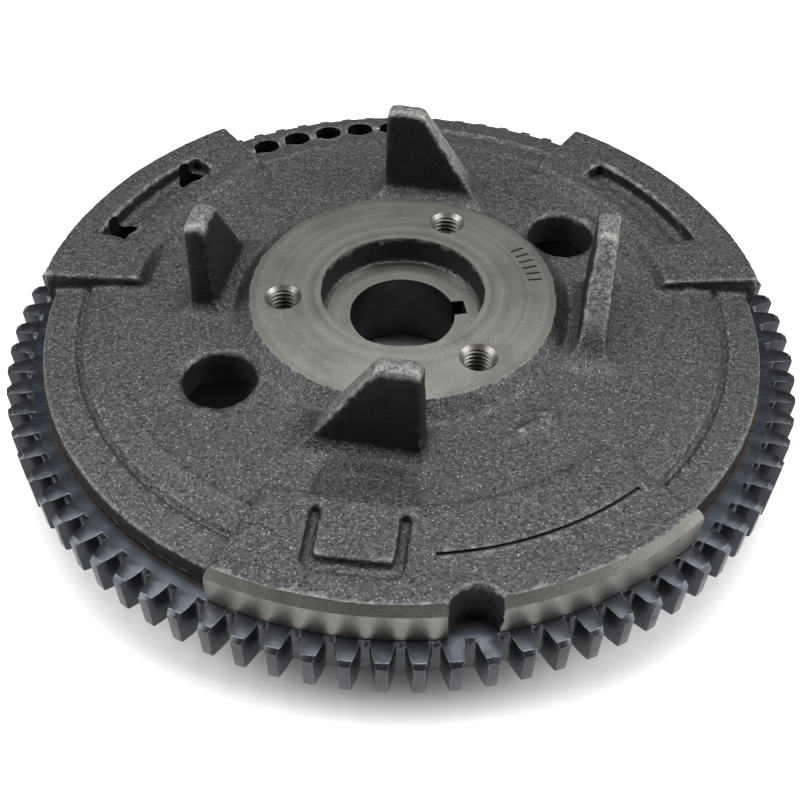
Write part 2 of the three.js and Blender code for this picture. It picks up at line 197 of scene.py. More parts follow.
def stack(rings: Sequence[Sequence[Vector]]) -> bmesh.types.BMesh:
    """Extrude a face through a stack of rings that have as many corners each.

    Args:
        rings: Corner points of each level, from the first to the last.

    Returns:
        A closed body.
    """
    bm = bmesh.new()
    corners = [bm.verts.new(point) for point in rings[0]]
    face = bm.faces.new(corners)
    for level, ring in enumerate(rings[1:]):
        made = bmesh.ops.extrude_face_region(bm, geom=[face])
        if level > 0:
            bmesh.ops.delete(bm, geom=[face], context="FACES_ONLY")
        face = next(item for item in made["geom"] if isinstance(item, bmesh.types.BMFace))
        lifted = {vert.co.to_tuple(5): vert for vert in face.verts}
        corners = [lifted[vert.co.to_tuple(5)] for vert in corners]
        for vert, point in zip(corners, ring):
            vert.co = point
    bmesh.ops.recalc_face_normals(bm, faces=bm.faces)
    return bm


class Body:
    """A solid that is built up, cut and finished into one piece."""

    def __init__(self, name: str, bm: bmesh.types.BMesh) -> None:
        """Put a bmesh into the scene under a name, and free the bmesh."""
        mesh = bpy.data.meshes.new(name)
        bm.to_mesh(mesh)
        bm.free()
        self.object = bpy.data.objects.new(name, mesh)
        bpy.context.scene.collection.objects.link(self.object)

    def freeze(self) -> None:
        """Apply the object's modifiers to its mesh."""
        bpy.context.view_layer.update()
        graph = bpy.context.evaluated_depsgraph_get()
        mesh = bpy.data.meshes.new_from_object(self.object.evaluated_get(graph), depsgraph=graph)
        old = self.object.data
        self.object.modifiers.clear()
        self.object.data = mesh
        bpy.data.meshes.remove(old)

    def work(self, other: "Body", cut: Cut) -> None:
        """Join, remove or keep what another body covers, and use that body up.

        Args:
            other: Closed body.
            cut: What to do with it.
        """
        modifier = self.object.modifiers.new("work", "BOOLEAN")
        modifier.object = other.object
        modifier.operation = cut.value
        modifier.solver = "MANIFOLD"
        modifier.material_mode = "INDEX"
        self.freeze()
        other.remove()

    def join(self, tool: bmesh.types.BMesh) -> None:
        """Join a tool's shape to the body."""
        self.work(Body("tool", tool), Cut.JOIN)

    def cut(self, tool: bmesh.types.BMesh) -> None:
        """Remove a tool's shape from the body."""
        self.work(Body("tool", tool), Cut.REMOVE)

    def wear(self, finishes: Sequence[bpy.types.Material], index: int = 0) -> None:
        """Give the mesh its materials, and set every face to one of them.

        Args:
            finishes: Materials in order.
            index: Number of the material that the faces take.
        """
        mesh = self.object.data
        mesh.materials.clear()
        for finish in finishes:
            mesh.materials.append(finish)
        for face in mesh.polygons:
            face.material_index = index

    def remove(self) -> None:
        """Take the body out of the scene."""
        mesh = self.object.data
        bpy.data.objects.remove(self.object)
        bpy.data.meshes.remove(mesh)

    def soften(self, voxel: float, rounds: int) -> None:
        """Run the body together and round its edges, as a sand mould does.

        Args:
            voxel: Grid size in millimetres.
            rounds: Smoothing rounds; more rounds give larger fillets.
        """
        remesh = self.object.modifiers.new("remesh", "REMESH")
        remesh.mode = "VOXEL"
        remesh.voxel_size = voxel
        remesh.adaptivity = 0.0
        smooth = self.object.modifiers.new("smooth", "SMOOTH")
        smooth.factor = 0.5
        smooth.iterations = rounds
        self.freeze()

    def roughen(self, amount: Callable[[Vector], float], sizes: Sequence[tuple[float, float]]) -> None:
        """Move each vertex along its normal by layered noise.

        Args:
            amount: Strength of the noise at a point.
            sizes: Pairs of grain size and share, both in millimetres.
        """
        bm = bmesh.new()
        bm.from_mesh(self.object.data)
        bm.normal_update()
        moves = []
        for vert in bm.verts:
            value = sum(share * noise.noise(vert.co / grain) for grain, share in sizes)
            moves.append(vert.normal * (value * amount(vert.co)))
        for vert, move in zip(bm.verts, moves):
            vert.co += move
        bm.to_mesh(self.object.data)
        bm.free()

    def thin(self, ratio: float) -> None:
        """Reduce the number of triangles to a share."""
        decimate = self.object.modifiers.new("thin", "DECIMATE")
        decimate.ratio = ratio
        self.freeze()

    def finish(self, sharp: float = 35.0) -> bpy.types.Object:
        """Turn the body into a finished piece in metres.

        Args:
            sharp: Edges above this angle stay sharp, in degrees.

        Returns:
            The finished object.
        """
        mesh = self.object.data
        bm = bmesh.new()
        bm.from_mesh(mesh)
        bmesh.ops.remove_doubles(bm, verts=bm.verts, dist=WELD)
        bmesh.ops.dissolve_degenerate(bm, dist=WELD, edges=bm.edges)
        bmesh.ops.triangulate(bm, faces=[face for face in bm.faces if len(face.verts) > 4])
        for face in bm.faces:
            face.smooth = True
        for edge in bm.edges:
            borders = len({face.material_index for face in edge.link_faces}) > 1
            edge.smooth = not (borders or edge.calc_face_angle(0.0) > math.radians(sharp))
        bmesh.ops.scale(bm, vec=(MM, MM, MM), verts=bm.verts)
        bm.to_mesh(mesh)
        bm.free()
        return self.object


def ring_sector(inner: float, outer: float, low: float, high: float, start: float, end: float) -> bmesh.types.BMesh:
    """Make an upright ring sector between two radii, two heights and two angles."""
    outline = [(inner, low), (outer, low), (outer, high), (inner, high)]
    steps = max(2, int((end - start) / 360.0 * TURN_STEPS))
    return revolve(outline, start, end - start, steps)


def plate(corners: Sequence[Vector], low: float, high: float) -> bmesh.types.BMesh:
    """Extrude a flat outline between two heights."""
    return stack([[Vector((p.x, p.y, z)) for p in corners] for z in (low, high)])


def gather(tools: Iterable[bmesh.types.BMesh], finishes: Sequence[bpy.types.Material], index: int) -> Body:
    """Join several tools into one body whose faces carry one finish.

    Args:
        tools: Closed bodies, at least one; they are used up.
        finishes: Materials in the order of the piece.
        index: Number of the finish that the cut faces get.

    Returns:
        The joined body.
    """
    joined: Body | None = None
    for tool in tools:
        if joined is None:
            joined = Body("tools", tool)
        else:
            joined.join(tool)
    joined.wear(finishes, index)
    return joined


# ------------------------------------------------------------------ shader graphs


Value = "bpy.types.NodeSocket | float | tuple"


class Graph:
    """Short way to build a node tree."""

    def __init__(self, tree: bpy.types.NodeTree) -> None:
        """Keep the tree."""
        self.tree = tree

    def feed(self, socket: bpy.types.NodeSocket, value: Value) -> None:
        """Link a socket to another one, or set its value."""
        if isinstance(value, bpy.types.NodeSocket):
            self.tree.links.new(value, socket)
        else:
            socket.default_value = value

    def add(self, kind: str, inputs: dict | None = None, **settings: object) -> bpy.types.Node:
        """Add a node.

        Args:
            kind: Node type.
            inputs: Values or sockets for the inputs, by name or number.
            **settings: Attributes of the node.

        Returns:
            The node.
        """
        node = self.tree.nodes.new(kind)
        for name, value in settings.items():
            setattr(node, name, value)
        for name, value in (inputs or {}).items():
            self.feed(node.inputs[name], value)
        return node

    def math(self, operation: str, *values: Value, clamp: bool = False) -> bpy.types.NodeSocket:
        """Add a Math node and return its output."""
        inputs = dict(enumerate(values))
        return self.add("ShaderNodeMath", inputs, operation=operation, use_clamp=clamp).outputs[0]

    def span(self, value: Value, low: float, high: float, to_low: float = 0.0, to_high: float = 1.0) -> bpy.types.NodeSocket:
        """Map a range onto another one smoothly and return the output."""
        inputs = {"Value": value, "From Min": low, "From Max": high, "To Min": to_low, "To Max": to_high}
        return self.add("ShaderNodeMapRange", inputs, interpolation_type="SMOOTHSTEP").outputs["Result"]

    def blend(self, factor: Value, first: Value, second: Value) -> bpy.types.NodeSocket:
        """Mix two colours and return the output."""
        node = self.add("ShaderNodeMix", data_type="RGBA")
        self.feed(node.inputs[0], factor)
        self.feed(node.inputs[6], first)
        self.feed(node.inputs[7], second)
        return node.outputs[2]

    def place(self) -> bpy.types.NodeSocket:
        """Return the place on the piece in millimetres."""
        coordinates = self.add("ShaderNodeTexCoord").outputs["Object"]
        scaled = self.add("ShaderNodeVectorMath", {0: coordinates, "Scale": 1 / MM}, operation="SCALE")
        return scaled.outputs[0]

    def noise(self, place: Value, size: Value, detail: float = 3.0, roughness: float = 0.55) -> bpy.types.NodeSocket:
        """Add noise of a grain size in millimetres and return its factor."""
        scale = self.math("DIVIDE", 1.0, size) if isinstance(size, bpy.types.NodeSocket) else 1.0 / size
        inputs = {"Vector": place, "Scale": scale, "Detail": detail, "Roughness": roughness}
        return self.add("ShaderNodeTexNoise", inputs).outputs["Fac"]


class Effect:
    """Surface effect that several finishes share, as a node group that is built once."""

    name = "effect"
    inputs: dict[str, float] = {}
    outputs: tuple[str, ...] = ()
    made: dict[str, bpy.types.NodeTree] = {}

    @classmethod
    def tree(cls) -> bpy.types.NodeTree:
        """Return the group, and build it the first time."""
        if cls.name not in Effect.made:
            tree = bpy.data.node_groups.new(cls.name, "ShaderNodeTree")
            for label, default in cls.inputs.items():
                tree.interface.new_socket(name=label, in_out="INPUT", socket_type="NodeSocketFloat").default_value = default
            for label in cls.outputs:
                tree.interface.new_socket(name=label, in_out="OUTPUT", socket_type="NodeSocketFloat")
            graph = Graph(tree)
            given = graph.add("NodeGroupInput")
            result = graph.add("NodeGroupOutput")
            made = cls.build(graph, {label: given.outputs[label] for label in cls.inputs})
            for label in cls.outputs:
                graph.feed(result.inputs[label], made[label])
            Effect.made[cls.name] = tree
        return Effect.made[cls.name]

    @classmethod
    def build(cls, graph: Graph, given: dict[str, bpy.types.NodeSocket]) -> dict[str, bpy.types.NodeSocket]:
        """Build the nodes; each effect has its own.

        Args:
            graph: Graph of the group.
            given: Input sockets by name.

        Returns:
            Output sockets by name.
        """
        raise NotImplementedError

    @classmethod
    def use(cls, graph: Graph, **values: Value) -> dict[str, bpy.types.NodeSocket]:
        """Place the effect in a material.

        Args:
            graph: Graph of the material.
            **values: Values for the inputs.

        Returns:
            Output sockets by name.
        """
        node = graph.add("ShaderNodeGroup", node_tree=cls.tree())
        for label, value in values.items():
            graph.feed(node.inputs[label], value)
        return {label: node.outputs[label] for label in cls.outputs}


class SandSkin(Effect):
    """Grain that a sand mould leaves: bumps, small pits and a change of tone, plus masks for painted glints on the
    grain.
    """

    name = "sand_skin"
    inputs = {"Grain": 1.0}
    outputs = ("Height", "Pits", "Tone", "PaintedSparkle", "GlintSpecks")

    @classmethod
    def build(cls, graph: Graph, given: dict[str, bpy.types.NodeSocket]) -> dict[str, bpy.types.NodeSocket]:
        """Layer noise over small cells."""
        place = graph.place()
        grain = given["Grain"]
        bumps = graph.noise(place, grain, 4.0, 0.62)
        fine = graph.noise(place, graph.math("MULTIPLY", grain, 0.28), 2.0, 0.6)
        scale = graph.math("DIVIDE", 0.8, grain)
        cells = graph.add("ShaderNodeTexVoronoi", {"Vector": place, "Scale": scale}).outputs["Distance"]
        pits = graph.span(cells, 0.28, 0.05)
        chosen = graph.span(graph.noise(place, graph.math("MULTIPLY", grain, 4.0), 2.0), 0.48, 0.62)
        pits = graph.math("MULTIPLY", pits, chosen)
        height = graph.math("ADD", graph.math("MULTIPLY", bumps, 0.75), graph.math("MULTIPLY", fine, 0.35))
        height = graph.math("SUBTRACT", height, graph.math("MULTIPLY", pits, 0.5))
        tone = graph.noise(place, graph.math("MULTIPLY", grain, 0.6), 4.0, 0.7)
        # Bright peaks of the fine noise and scattered small cells: masks for painted glints on the grain.
        painted_sparkle = graph.span(fine, 0.60, 0.74)
        scale = graph.math("DIVIDE", 2.9, grain)
        glint_cells = graph.add("ShaderNodeTexVoronoi", {"Vector": place, "Scale": scale})
        drawn = graph.add("ShaderNodeSeparateColor", {0: glint_cells.outputs["Color"]}).outputs[0]
        glint_specks = graph.math("MULTIPLY", graph.span(drawn, 0.72, 0.95), graph.span(glint_cells.outputs["Distance"], 0.55, 0.2))
        return {"Height": height, "Pits": pits, "Tone": tone, "PaintedSparkle": painted_sparkle, "GlintSpecks": glint_specks}


class TurnedRings(Effect):
    """Rings that a lathe tool leaves, counted along the radius and the height."""

    name = "turned_rings"
    inputs = {"Feed": 0.3}
    outputs = ("Height", "Tone")

    @classmethod
    def build(cls, graph: Graph, given: dict[str, bpy.types.NodeSocket]) -> dict[str, bpy.types.NodeSocket]:
        """Count rings by radius plus height."""
        place = graph.place()
        parts = graph.add("ShaderNodeSeparateXYZ", {0: place})
        flat = graph.add("ShaderNodeCombineXYZ", {0: parts.outputs[0], 1: parts.outputs[1]})
        radius = graph.add("ShaderNodeVectorMath", {0: flat.outputs[0]}, operation="LENGTH").outputs["Value"]
        along = graph.math("DIVIDE", graph.math("ADD", radius, parts.outputs[2]), given["Feed"])
        rings = graph.add("ShaderNodeTexNoise", {"W": along, "Scale": 1.0, "Detail": 2.0}, noise_dimensions="1D")
        waves = graph.math("SINE", graph.math("MULTIPLY", along, 2 * math.pi))
        height = graph.math("ADD", graph.math("MULTIPLY", waves, 0.25), rings.outputs["Fac"])
        slow = graph.math("MULTIPLY", along, 0.17)
        tone = graph.add("ShaderNodeTexNoise", {"W": slow, "Scale": 1.0, "Detail": 3.0}, noise_dimensions="1D")
        return {"Height": height, "Tone": tone.outputs["Fac"]}


class WornEdges(Effect):
    """Bright rubbed metal where the surface is convex, and a mask of concave hollows for painted shade."""

    name = "worn_edges"
    inputs = {"Start": 0.53, "End": 0.6}
    outputs = ("Mask", "HollowShade")

    @classmethod
    def build(cls, graph: Graph, given: dict[str, bpy.types.NodeSocket]) -> dict[str, bpy.types.NodeSocket]:
        """Break the convex edges up with noise."""
        pointy = graph.add("ShaderNodeNewGeometry").outputs["Pointiness"]
        broken = graph.math("MULTIPLY", graph.math("SUBTRACT", graph.noise(graph.place(), 2.2, 4.0), 0.5), 0.06)
        value = graph.math("ADD", pointy, broken)
        inputs = {"Value": value, "From Min": given["Start"], "From Max": given["End"]}
        mask = graph.add("ShaderNodeMapRange", inputs).outputs["Result"]
        # Concave places, used as a mask for painted shade.
        hollow_shade = graph.span(pointy, 0.49, 0.42)
        return {"Mask": mask, "HollowShade": hollow_shade}


class Blotches(Effect):
    """Large soft stains of oil, dust and rust bloom."""

    name = "blotches"
    inputs = {"Size": 20.0}
    outputs = ("Mask", "Streak")

    @classmethod
    def build(cls, graph: Graph, given: dict[str, bpy.types.NodeSocket]) -> dict[str, bpy.types.NodeSocket]:
        """Cut two noises of different sizes."""
        place = graph.place()
        large = graph.span(graph.noise(place, given["Size"], 5.0, 0.6), 0.42, 0.66)
        small = graph.span(graph.noise(place, graph.math("MULTIPLY", given["Size"], 0.2), 5.0, 0.65), 0.5, 0.7)
        return {"Mask": large, "Streak": small}


class UprightShade(Effect):
    """Faces that stand upright, darkened as painted shade where little studio light falls on them."""

    name = "upright_painted_shade"
    inputs = {"Spread": 0.3}
    outputs = ("Mask",)

    @classmethod
    def build(cls, graph: Graph, given: dict[str, bpy.types.NodeSocket]) -> dict[str, bpy.types.NodeSocket]:
        """Compare the surface's slope with a limit that wanders a little."""
        normal = graph.add("ShaderNodeTexCoord").outputs["Normal"]
        slope = graph.add("ShaderNodeSeparateXYZ", {0: normal}).outputs[2]
        wander = graph.math("MULTIPLY", graph.math("SUBTRACT", graph.noise(graph.place(), 1.4, 3.0), 0.5), given["Spread"])
        return {"Mask": graph.span(graph.math("ADD", slope, wander), 0.46, 0.16)}


class ProudWearAndHighlight(Effect):
    """Faces above the web that do not stand upright, lightened partly as handling wear and partly as painted highlight
    on the tops.
    """

    name = "proud_wear_and_highlight"
    inputs = {"Start": 31.0, "End": 36.0}
    outputs = ("Mask",)

    @classmethod
    def build(cls, graph: Graph, given: dict[str, bpy.types.NodeSocket]) -> dict[str, bpy.types.NodeSocket]:
        """Multiply a height mask, a slope mask and patchy noise."""
        place = graph.place()
        height = graph.add("ShaderNodeSeparateXYZ", {0: place}).outputs[2]
        share = graph.add(
            "ShaderNodeMapRange", {"Value": height, "From Min": given["Start"], "From Max": given["End"]}
        ).outputs["Result"]
        normal = graph.add("ShaderNodeTexCoord").outputs["Normal"]
        slope = graph.add("ShaderNodeSeparateXYZ", {0: normal}).outputs[2]
        mask = graph.math("MULTIPLY", share, graph.span(slope, 0.15, 0.45))
        patches = graph.span(graph.noise(place, 0.9, 4.0, 0.7), 0.32, 0.62)
        return {"Mask": graph.math("MULTIPLY", mask, patches)}


class HeatBand(Effect):
    """Ring round the axis, for the tint left by heat."""

    name = "heat_band"
    inputs = {"Radius": 88.0, "Width": 2.0}
    outputs = ("Mask",)

    @classmethod
    def build(cls, graph: Graph, given: dict[str, bpy.types.NodeSocket]) -> dict[str, bpy.types.NodeSocket]:
        """Measure the distance from a ring."""
        place = graph.place()
        parts = graph.add("ShaderNodeSeparateXYZ", {0: place})
        flat = graph.add("ShaderNodeCombineXYZ", {0: parts.outputs[0], 1: parts.outputs[1]})
        radius = graph.add("ShaderNodeVectorMath", {0: flat.outputs[0]}, operation="LENGTH").outputs["Value"]
        wander = graph.math("MULTIPLY", graph.math("SUBTRACT", graph.noise(place, 9.0), 0.5), 1.6)
        off = graph.math("ABSOLUTE", graph.math("SUBTRACT", graph.math("ADD", radius, wander), given["Radius"]))
        share = graph.math("DIVIDE", off, given["Width"], clamp=True)
        return {"Mask": graph.span(share, 1.0, 0.0)}


# ------------------------------------------------------------------ finishes


Colour = tuple[float, float, float, float]


@dataclass(frozen=True)
class Finish:
    """Finish of a surface; each kind builds its own nodes."""

    name: str

    def build(self) -> bpy.types.Material:
        """Make the material.

        Returns:
            The material, ready to put on a piece.
        """
        material = bpy.data.materials.new(self.name)
        material.use_nodes = True
        graph = Graph(material.node_tree)
        material.node_tree.nodes.clear()
        shader = graph.add("ShaderNodeBsdfPrincipled")
        output = graph.add("ShaderNodeOutputMaterial")
        graph.feed(output.inputs["Surface"], shader.outputs[0])
        self.dress(graph, shader)
        return material

    def dress(self, graph: Graph, shader: bpy.types.Node) -> None:
        """Feed the shader; each finish has its own nodes."""
        raise NotImplementedError

    @staticmethod
    def bump(graph: Graph, shader: bpy.types.Node, height: Value, depth: float) -> None:
        """Feed a bump of a depth in millimetres to the shader's normal."""
        node = graph.add("ShaderNodeBump", {"Height": height, "Strength": 1.0, "Distance": depth * MM})
        graph.feed(shader.inputs["Normal"], node.outputs[0])


@dataclass(frozen=True)
class CastIron(Finish):
    """Dark grey sand-cast iron with speckled grain and rubbed edges, with painted glints on the grain, painted
    highlight on proud faces and painted shade on upright faces and in hollows.
    """

    dark: Colour = (0.014, 0.014, 0.0165, 1.0)
    light: Colour = (0.07, 0.07, 0.072, 1.0)
    rubbed: Colour = (0.34, 0.33, 0.315, 1.0)
    dust: Colour = (0.05, 0.046, 0.04, 1.0)
    # Near-black colour painted as shade on upright faces, hole walls and notch walls.
    painted_shade: Colour = (0.006, 0.006, 0.008, 1.0)
    grain: float = 1.25
    depth: float = 0.42

    def dress(self, graph: Graph, shader: bpy.types.Node) -> None:
        """Speckled dark skin, bright on convex edges."""
        sand = SandSkin.use(graph, Grain=self.grain)
        worn = WornEdges.use(graph, Start=0.52, End=0.6)
        upright = UprightShade.use(graph)
        proud_wear_and_highlight = ProudWearAndHighlight.use(graph, Start=32.0, End=37.0)
        stain = Blotches.use(graph, Size=24.0)
        tone = graph.span(sand["Tone"], 0.34, 0.68)
        colour = graph.blend(tone, self.dark, self.light)
        colour = graph.blend(graph.math("MULTIPLY", stain["Mask"], 0.25), colour, self.dust)
        # Painted glints: grain peaks and scattered specks are lightened towards the rubbed-metal colour.
        colour = graph.blend(graph.math("MULTIPLY", sand["PaintedSparkle"], 0.3), colour, self.rubbed)
        colour = graph.blend(graph.math("MULTIPLY", sand["GlintSpecks"], 0.6), colour, self.rubbed)
        colour = graph.blend(graph.math("MULTIPLY", sand["Pits"], 0.75), colour, (0.012, 0.012, 0.012, 1.0))
        # Painted shade: concave hollows are darkened towards the dark tone.
        colour = graph.blend(graph.math("MULTIPLY", worn["HollowShade"], 0.5), colour, self.dark)
        # Painted shade: upright faces, hole walls and notch walls go near black.
        colour = graph.blend(graph.math("MULTIPLY", upright["Mask"], 0.92), colour, self.painted_shade)
        # Upward faces high on fins and pads: partly handling wear, partly painted highlight.
        colour = graph.blend(graph.math("MULTIPLY", proud_wear_and_highlight["Mask"], 0.5), colour, self.rubbed)
        colour = graph.blend(graph.math("MULTIPLY", worn["Mask"], 0.85), colour, self.rubbed)
        graph.feed(shader.inputs["Base Color"], colour)
        rough = graph.math("ADD", graph.math("MULTIPLY", sand["Tone"], 0.25), 0.33)
        rough = graph.math("ADD", rough, graph.math("MULTIPLY", upright["Mask"], 0.2))
        rough = graph.math("SUBTRACT", rough, graph.math("MULTIPLY", worn["Mask"], 0.12))
        graph.feed(shader.inputs["Roughness"], rough)
        metal = graph.math("ADD", 0.55, graph.math("MULTIPLY", worn["Mask"], 0.35), clamp=True)
        graph.feed(shader.inputs["Metallic"], metal)
        self.bump(graph, shader, sand["Height"], self.depth)


@dataclass(frozen=True)
class MachinedIron(Finish):
    """Iron faced on a lathe: warm grey with fine rings and small open pores."""

    clean: Colour = (0.235, 0.228, 0.212, 1.0)
    stained: Colour = (0.1, 0.096, 0.087, 1.0)
    feed: float = 0.35

    def dress(self, graph: Graph, shader: bpy.types.Node) -> None:
        """Rings with pores and light stains."""
        rings = TurnedRings.use(graph, Feed=self.feed)
        sand = SandSkin.use(graph, Grain=0.7)
        stain = Blotches.use(graph, Size=14.0)
        mottle = graph.span(sand["Tone"], 0.38, 0.62)
        colour = graph.blend(graph.math("MULTIPLY", mottle, 0.5), self.clean, self.stained)
        colour = graph.blend(graph.math("MULTIPLY", stain["Mask"], 0.45), colour, self.stained)
        colour = graph.blend(graph.math("MULTIPLY", sand["Pits"], 0.65), colour, (0.05, 0.045, 0.04, 1.0))
        graph.feed(shader.inputs["Base Color"], colour)
        rough = graph.math("ADD", graph.math("MULTIPLY", rings["Tone"], 0.2), 0.3)
        graph.feed(shader.inputs["Roughness"], rough)
        shader.inputs["Metallic"].default_value = 0.9
        height = graph.math("ADD", rings["Height"], graph.math("MULTIPLY", sand["Height"], 0.4))
        self.bump(graph, shader, height, 0.012)


@dataclass(frozen=True)
class RecessShadeIron(Finish):
    """Bored and drilled iron in deep recesses, coloured near black as painted shade."""

    # Near-black base colours: painted shade of the bore, holes, groove and engraved marks.
    dark: Colour = (0.004, 0.004, 0.005, 1.0)
    light: Colour = (0.014, 0.0135, 0.0135, 1.0)

    def dress(self, graph: Graph, shader: bpy.types.Node) -> None:
        """Near-black painted shade with stain blotches and faint rings."""
        rings = TurnedRings.use(graph, Feed=0.5)
        stain = Blotches.use(graph, Size=8.0)
        colour = graph.blend(stain["Mask"], self.dark, self.light)
        graph.feed(shader.inputs["Base Color"], colour)
        graph.feed(shader.inputs["Roughness"], graph.math("ADD", graph.math("MULTIPLY", stain["Streak"], 0.2), 0.42))
        shader.inputs["Metallic"].default_value = 0.6
        self.bump(graph, shader, rings["Height"], 0.01)


@dataclass(frozen=True)
class GearSteel(Finish):
    """Dark hardened steel of the ring gear, brighter on its edges, with a heat tint at its bore."""

    dark: Colour = (0.027, 0.03, 0.036, 1.0)
    worn: Colour = (0.21, 0.215, 0.225, 1.0)
    straw: Colour = (0.07, 0.045, 0.028, 1.0)
    blue: Colour = (0.024, 0.03, 0.046, 1.0)

    def dress(self, graph: Graph, shader: bpy.types.Node) -> None:
        """Oxide film with rubbed edges."""
        rubbed = graph.add("ShaderNodeAttribute", attribute_name="rubbed").outputs["Fac"]
        stain = Blotches.use(graph, Size=12.0)
        rings = TurnedRings.use(graph, Feed=0.45)
        straw = HeatBand.use(graph, Radius=88.8, Width=0.9)
        blue = HeatBand.use(graph, Radius=90.4, Width=1.6)
        colour = graph.blend(graph.math("MULTIPLY", stain["Mask"], 0.5), self.dark, (0.05, 0.053, 0.06, 1.0))
        colour = graph.blend(graph.math("MULTIPLY", blue["Mask"], 0.5), colour, self.blue)
        colour = graph.blend(graph.math("MULTIPLY", straw["Mask"], 0.5), colour, self.straw)
        chipped = graph.span(graph.noise(graph.place(), 1.6, 3.0), 0.35, 0.6)
        colour = graph.blend(graph.math("MULTIPLY", rubbed, chipped), colour, self.worn)
        graph.feed(shader.inputs["Base Color"], colour)
        rough = graph.math("ADD", graph.math("MULTIPLY", stain["Streak"], 0.2), 0.32)
        graph.feed(shader.inputs["Roughness"], rough)
        shader.inputs["Metallic"].default_value = 0.8
        self.bump(graph, shader, rings["Height"], 0.008)


@dataclass(frozen=True)
class Ferrite(Finish):
    """Sintered magnet: dark grey, matt, with fine grain."""

    body: Colour = (0.045, 0.046, 0.05, 1.0)
    ground: Colour = (0.11, 0.11, 0.118, 1.0)

    def dress(self, graph: Graph, shader: bpy.types.Node) -> None:
        """Fine grain with lighter edges."""
        sand = SandSkin.use(graph, Grain=0.5)
        worn = WornEdges.use(graph, Start=0.54, End=0.66)
        colour = graph.blend(sand["Tone"], self.body, self.ground)
        colour = graph.blend(graph.math("MULTIPLY", worn["Mask"], 0.6), colour, (0.2, 0.2, 0.21, 1.0))
        graph.feed(shader.inputs["Base Color"], colour)
        graph.feed(shader.inputs["Roughness"], graph.math("ADD", graph.math("MULTIPLY", sand["Tone"], 0.2), 0.45))
        shader.inputs["Metallic"].default_value = 0.4
        self.bump(graph, shader, sand["Height"], 0.03)


@dataclass(frozen=True)
class CagePlastic(Finish):
    """Black glass-filled plastic of the magnet cage."""

    body: Colour = (0.018, 0.018, 0.02, 1.0)

    def dress(self, graph: Graph, shader: bpy.types.Node) -> None:
        """Fine moulded grain with a dusty bloom."""
        sand = SandSkin.use(graph, Grain=0.45)
        stain = Blotches.use(graph, Size=9.0)
        colour = graph.blend(graph.math("MULTIPLY", stain["Mask"], 0.35), self.body, (0.06, 0.057, 0.052, 1.0))
        graph.feed(shader.inputs["Base Color"], colour)
        graph.feed(shader.inputs["Roughness"], graph.math("ADD", graph.math("MULTIPLY", sand["Tone"], 0.25), 0.4))
        self.bump(graph, shader, sand["Height"], 0.02)


@dataclass(frozen=True)
class StainlessSheet(Finish):
    """Thin rolled stainless sheet of the sleeve over the magnets."""

    body: Colour = (0.5, 0.495, 0.48, 1.0)

    def dress(self, graph: Graph, shader: bpy.types.Node) -> None:
        """Drawn lines round the axis and light smears."""
        rings = TurnedRings.use(graph, Feed=0.6)
        stain = Blotches.use(graph, Size=10.0)
        colour = graph.blend(graph.math("MULTIPLY", stain["Mask"], 0.4), self.body, (0.3, 0.285, 0.26, 1.0))
        graph.feed(shader.inputs["Base Color"], colour)
        graph.feed(shader.inputs["Roughness"], graph.math("ADD", graph.math("MULTIPLY", rings["Tone"], 0.2), 0.22))
        shader.inputs["Metallic"].default_value = 1.0
        self.bump(graph, shader, rings["Height"], 0.006)


@dataclass(frozen=True)
class StudioFloor(Finish):
    """Plain pale floor."""

    body: Colour = (0.86, 0.86, 0.86, 1.0)

    def dress(self, graph: Graph, shader: bpy.types.Node) -> None:
        """Even matt white."""
        shader.inputs["Base Color"].default_value = self.body
        shader.inputs["Roughness"].default_value = 0.9
        shader.inputs["Specular IOR Level"].default_value = 0.1


# ------------------------------------------------------------------ casting


@dataclass(frozen=True)
class Pocket:
    """Pocket in a back pad: a shallow ledge inside and a deep trench outside."""

    start: float
    end: float
    inner: float
    ledge: float
    outer: float


@dataclass(frozen=True)
class Pad:
    """Raised pad on the rim."""

    start: float
    end: float
    outer: float
    slant_angle: float
    slant_radius: float
    slant_at_end: bool
    slope: float
    pocket: Pocket | None = None


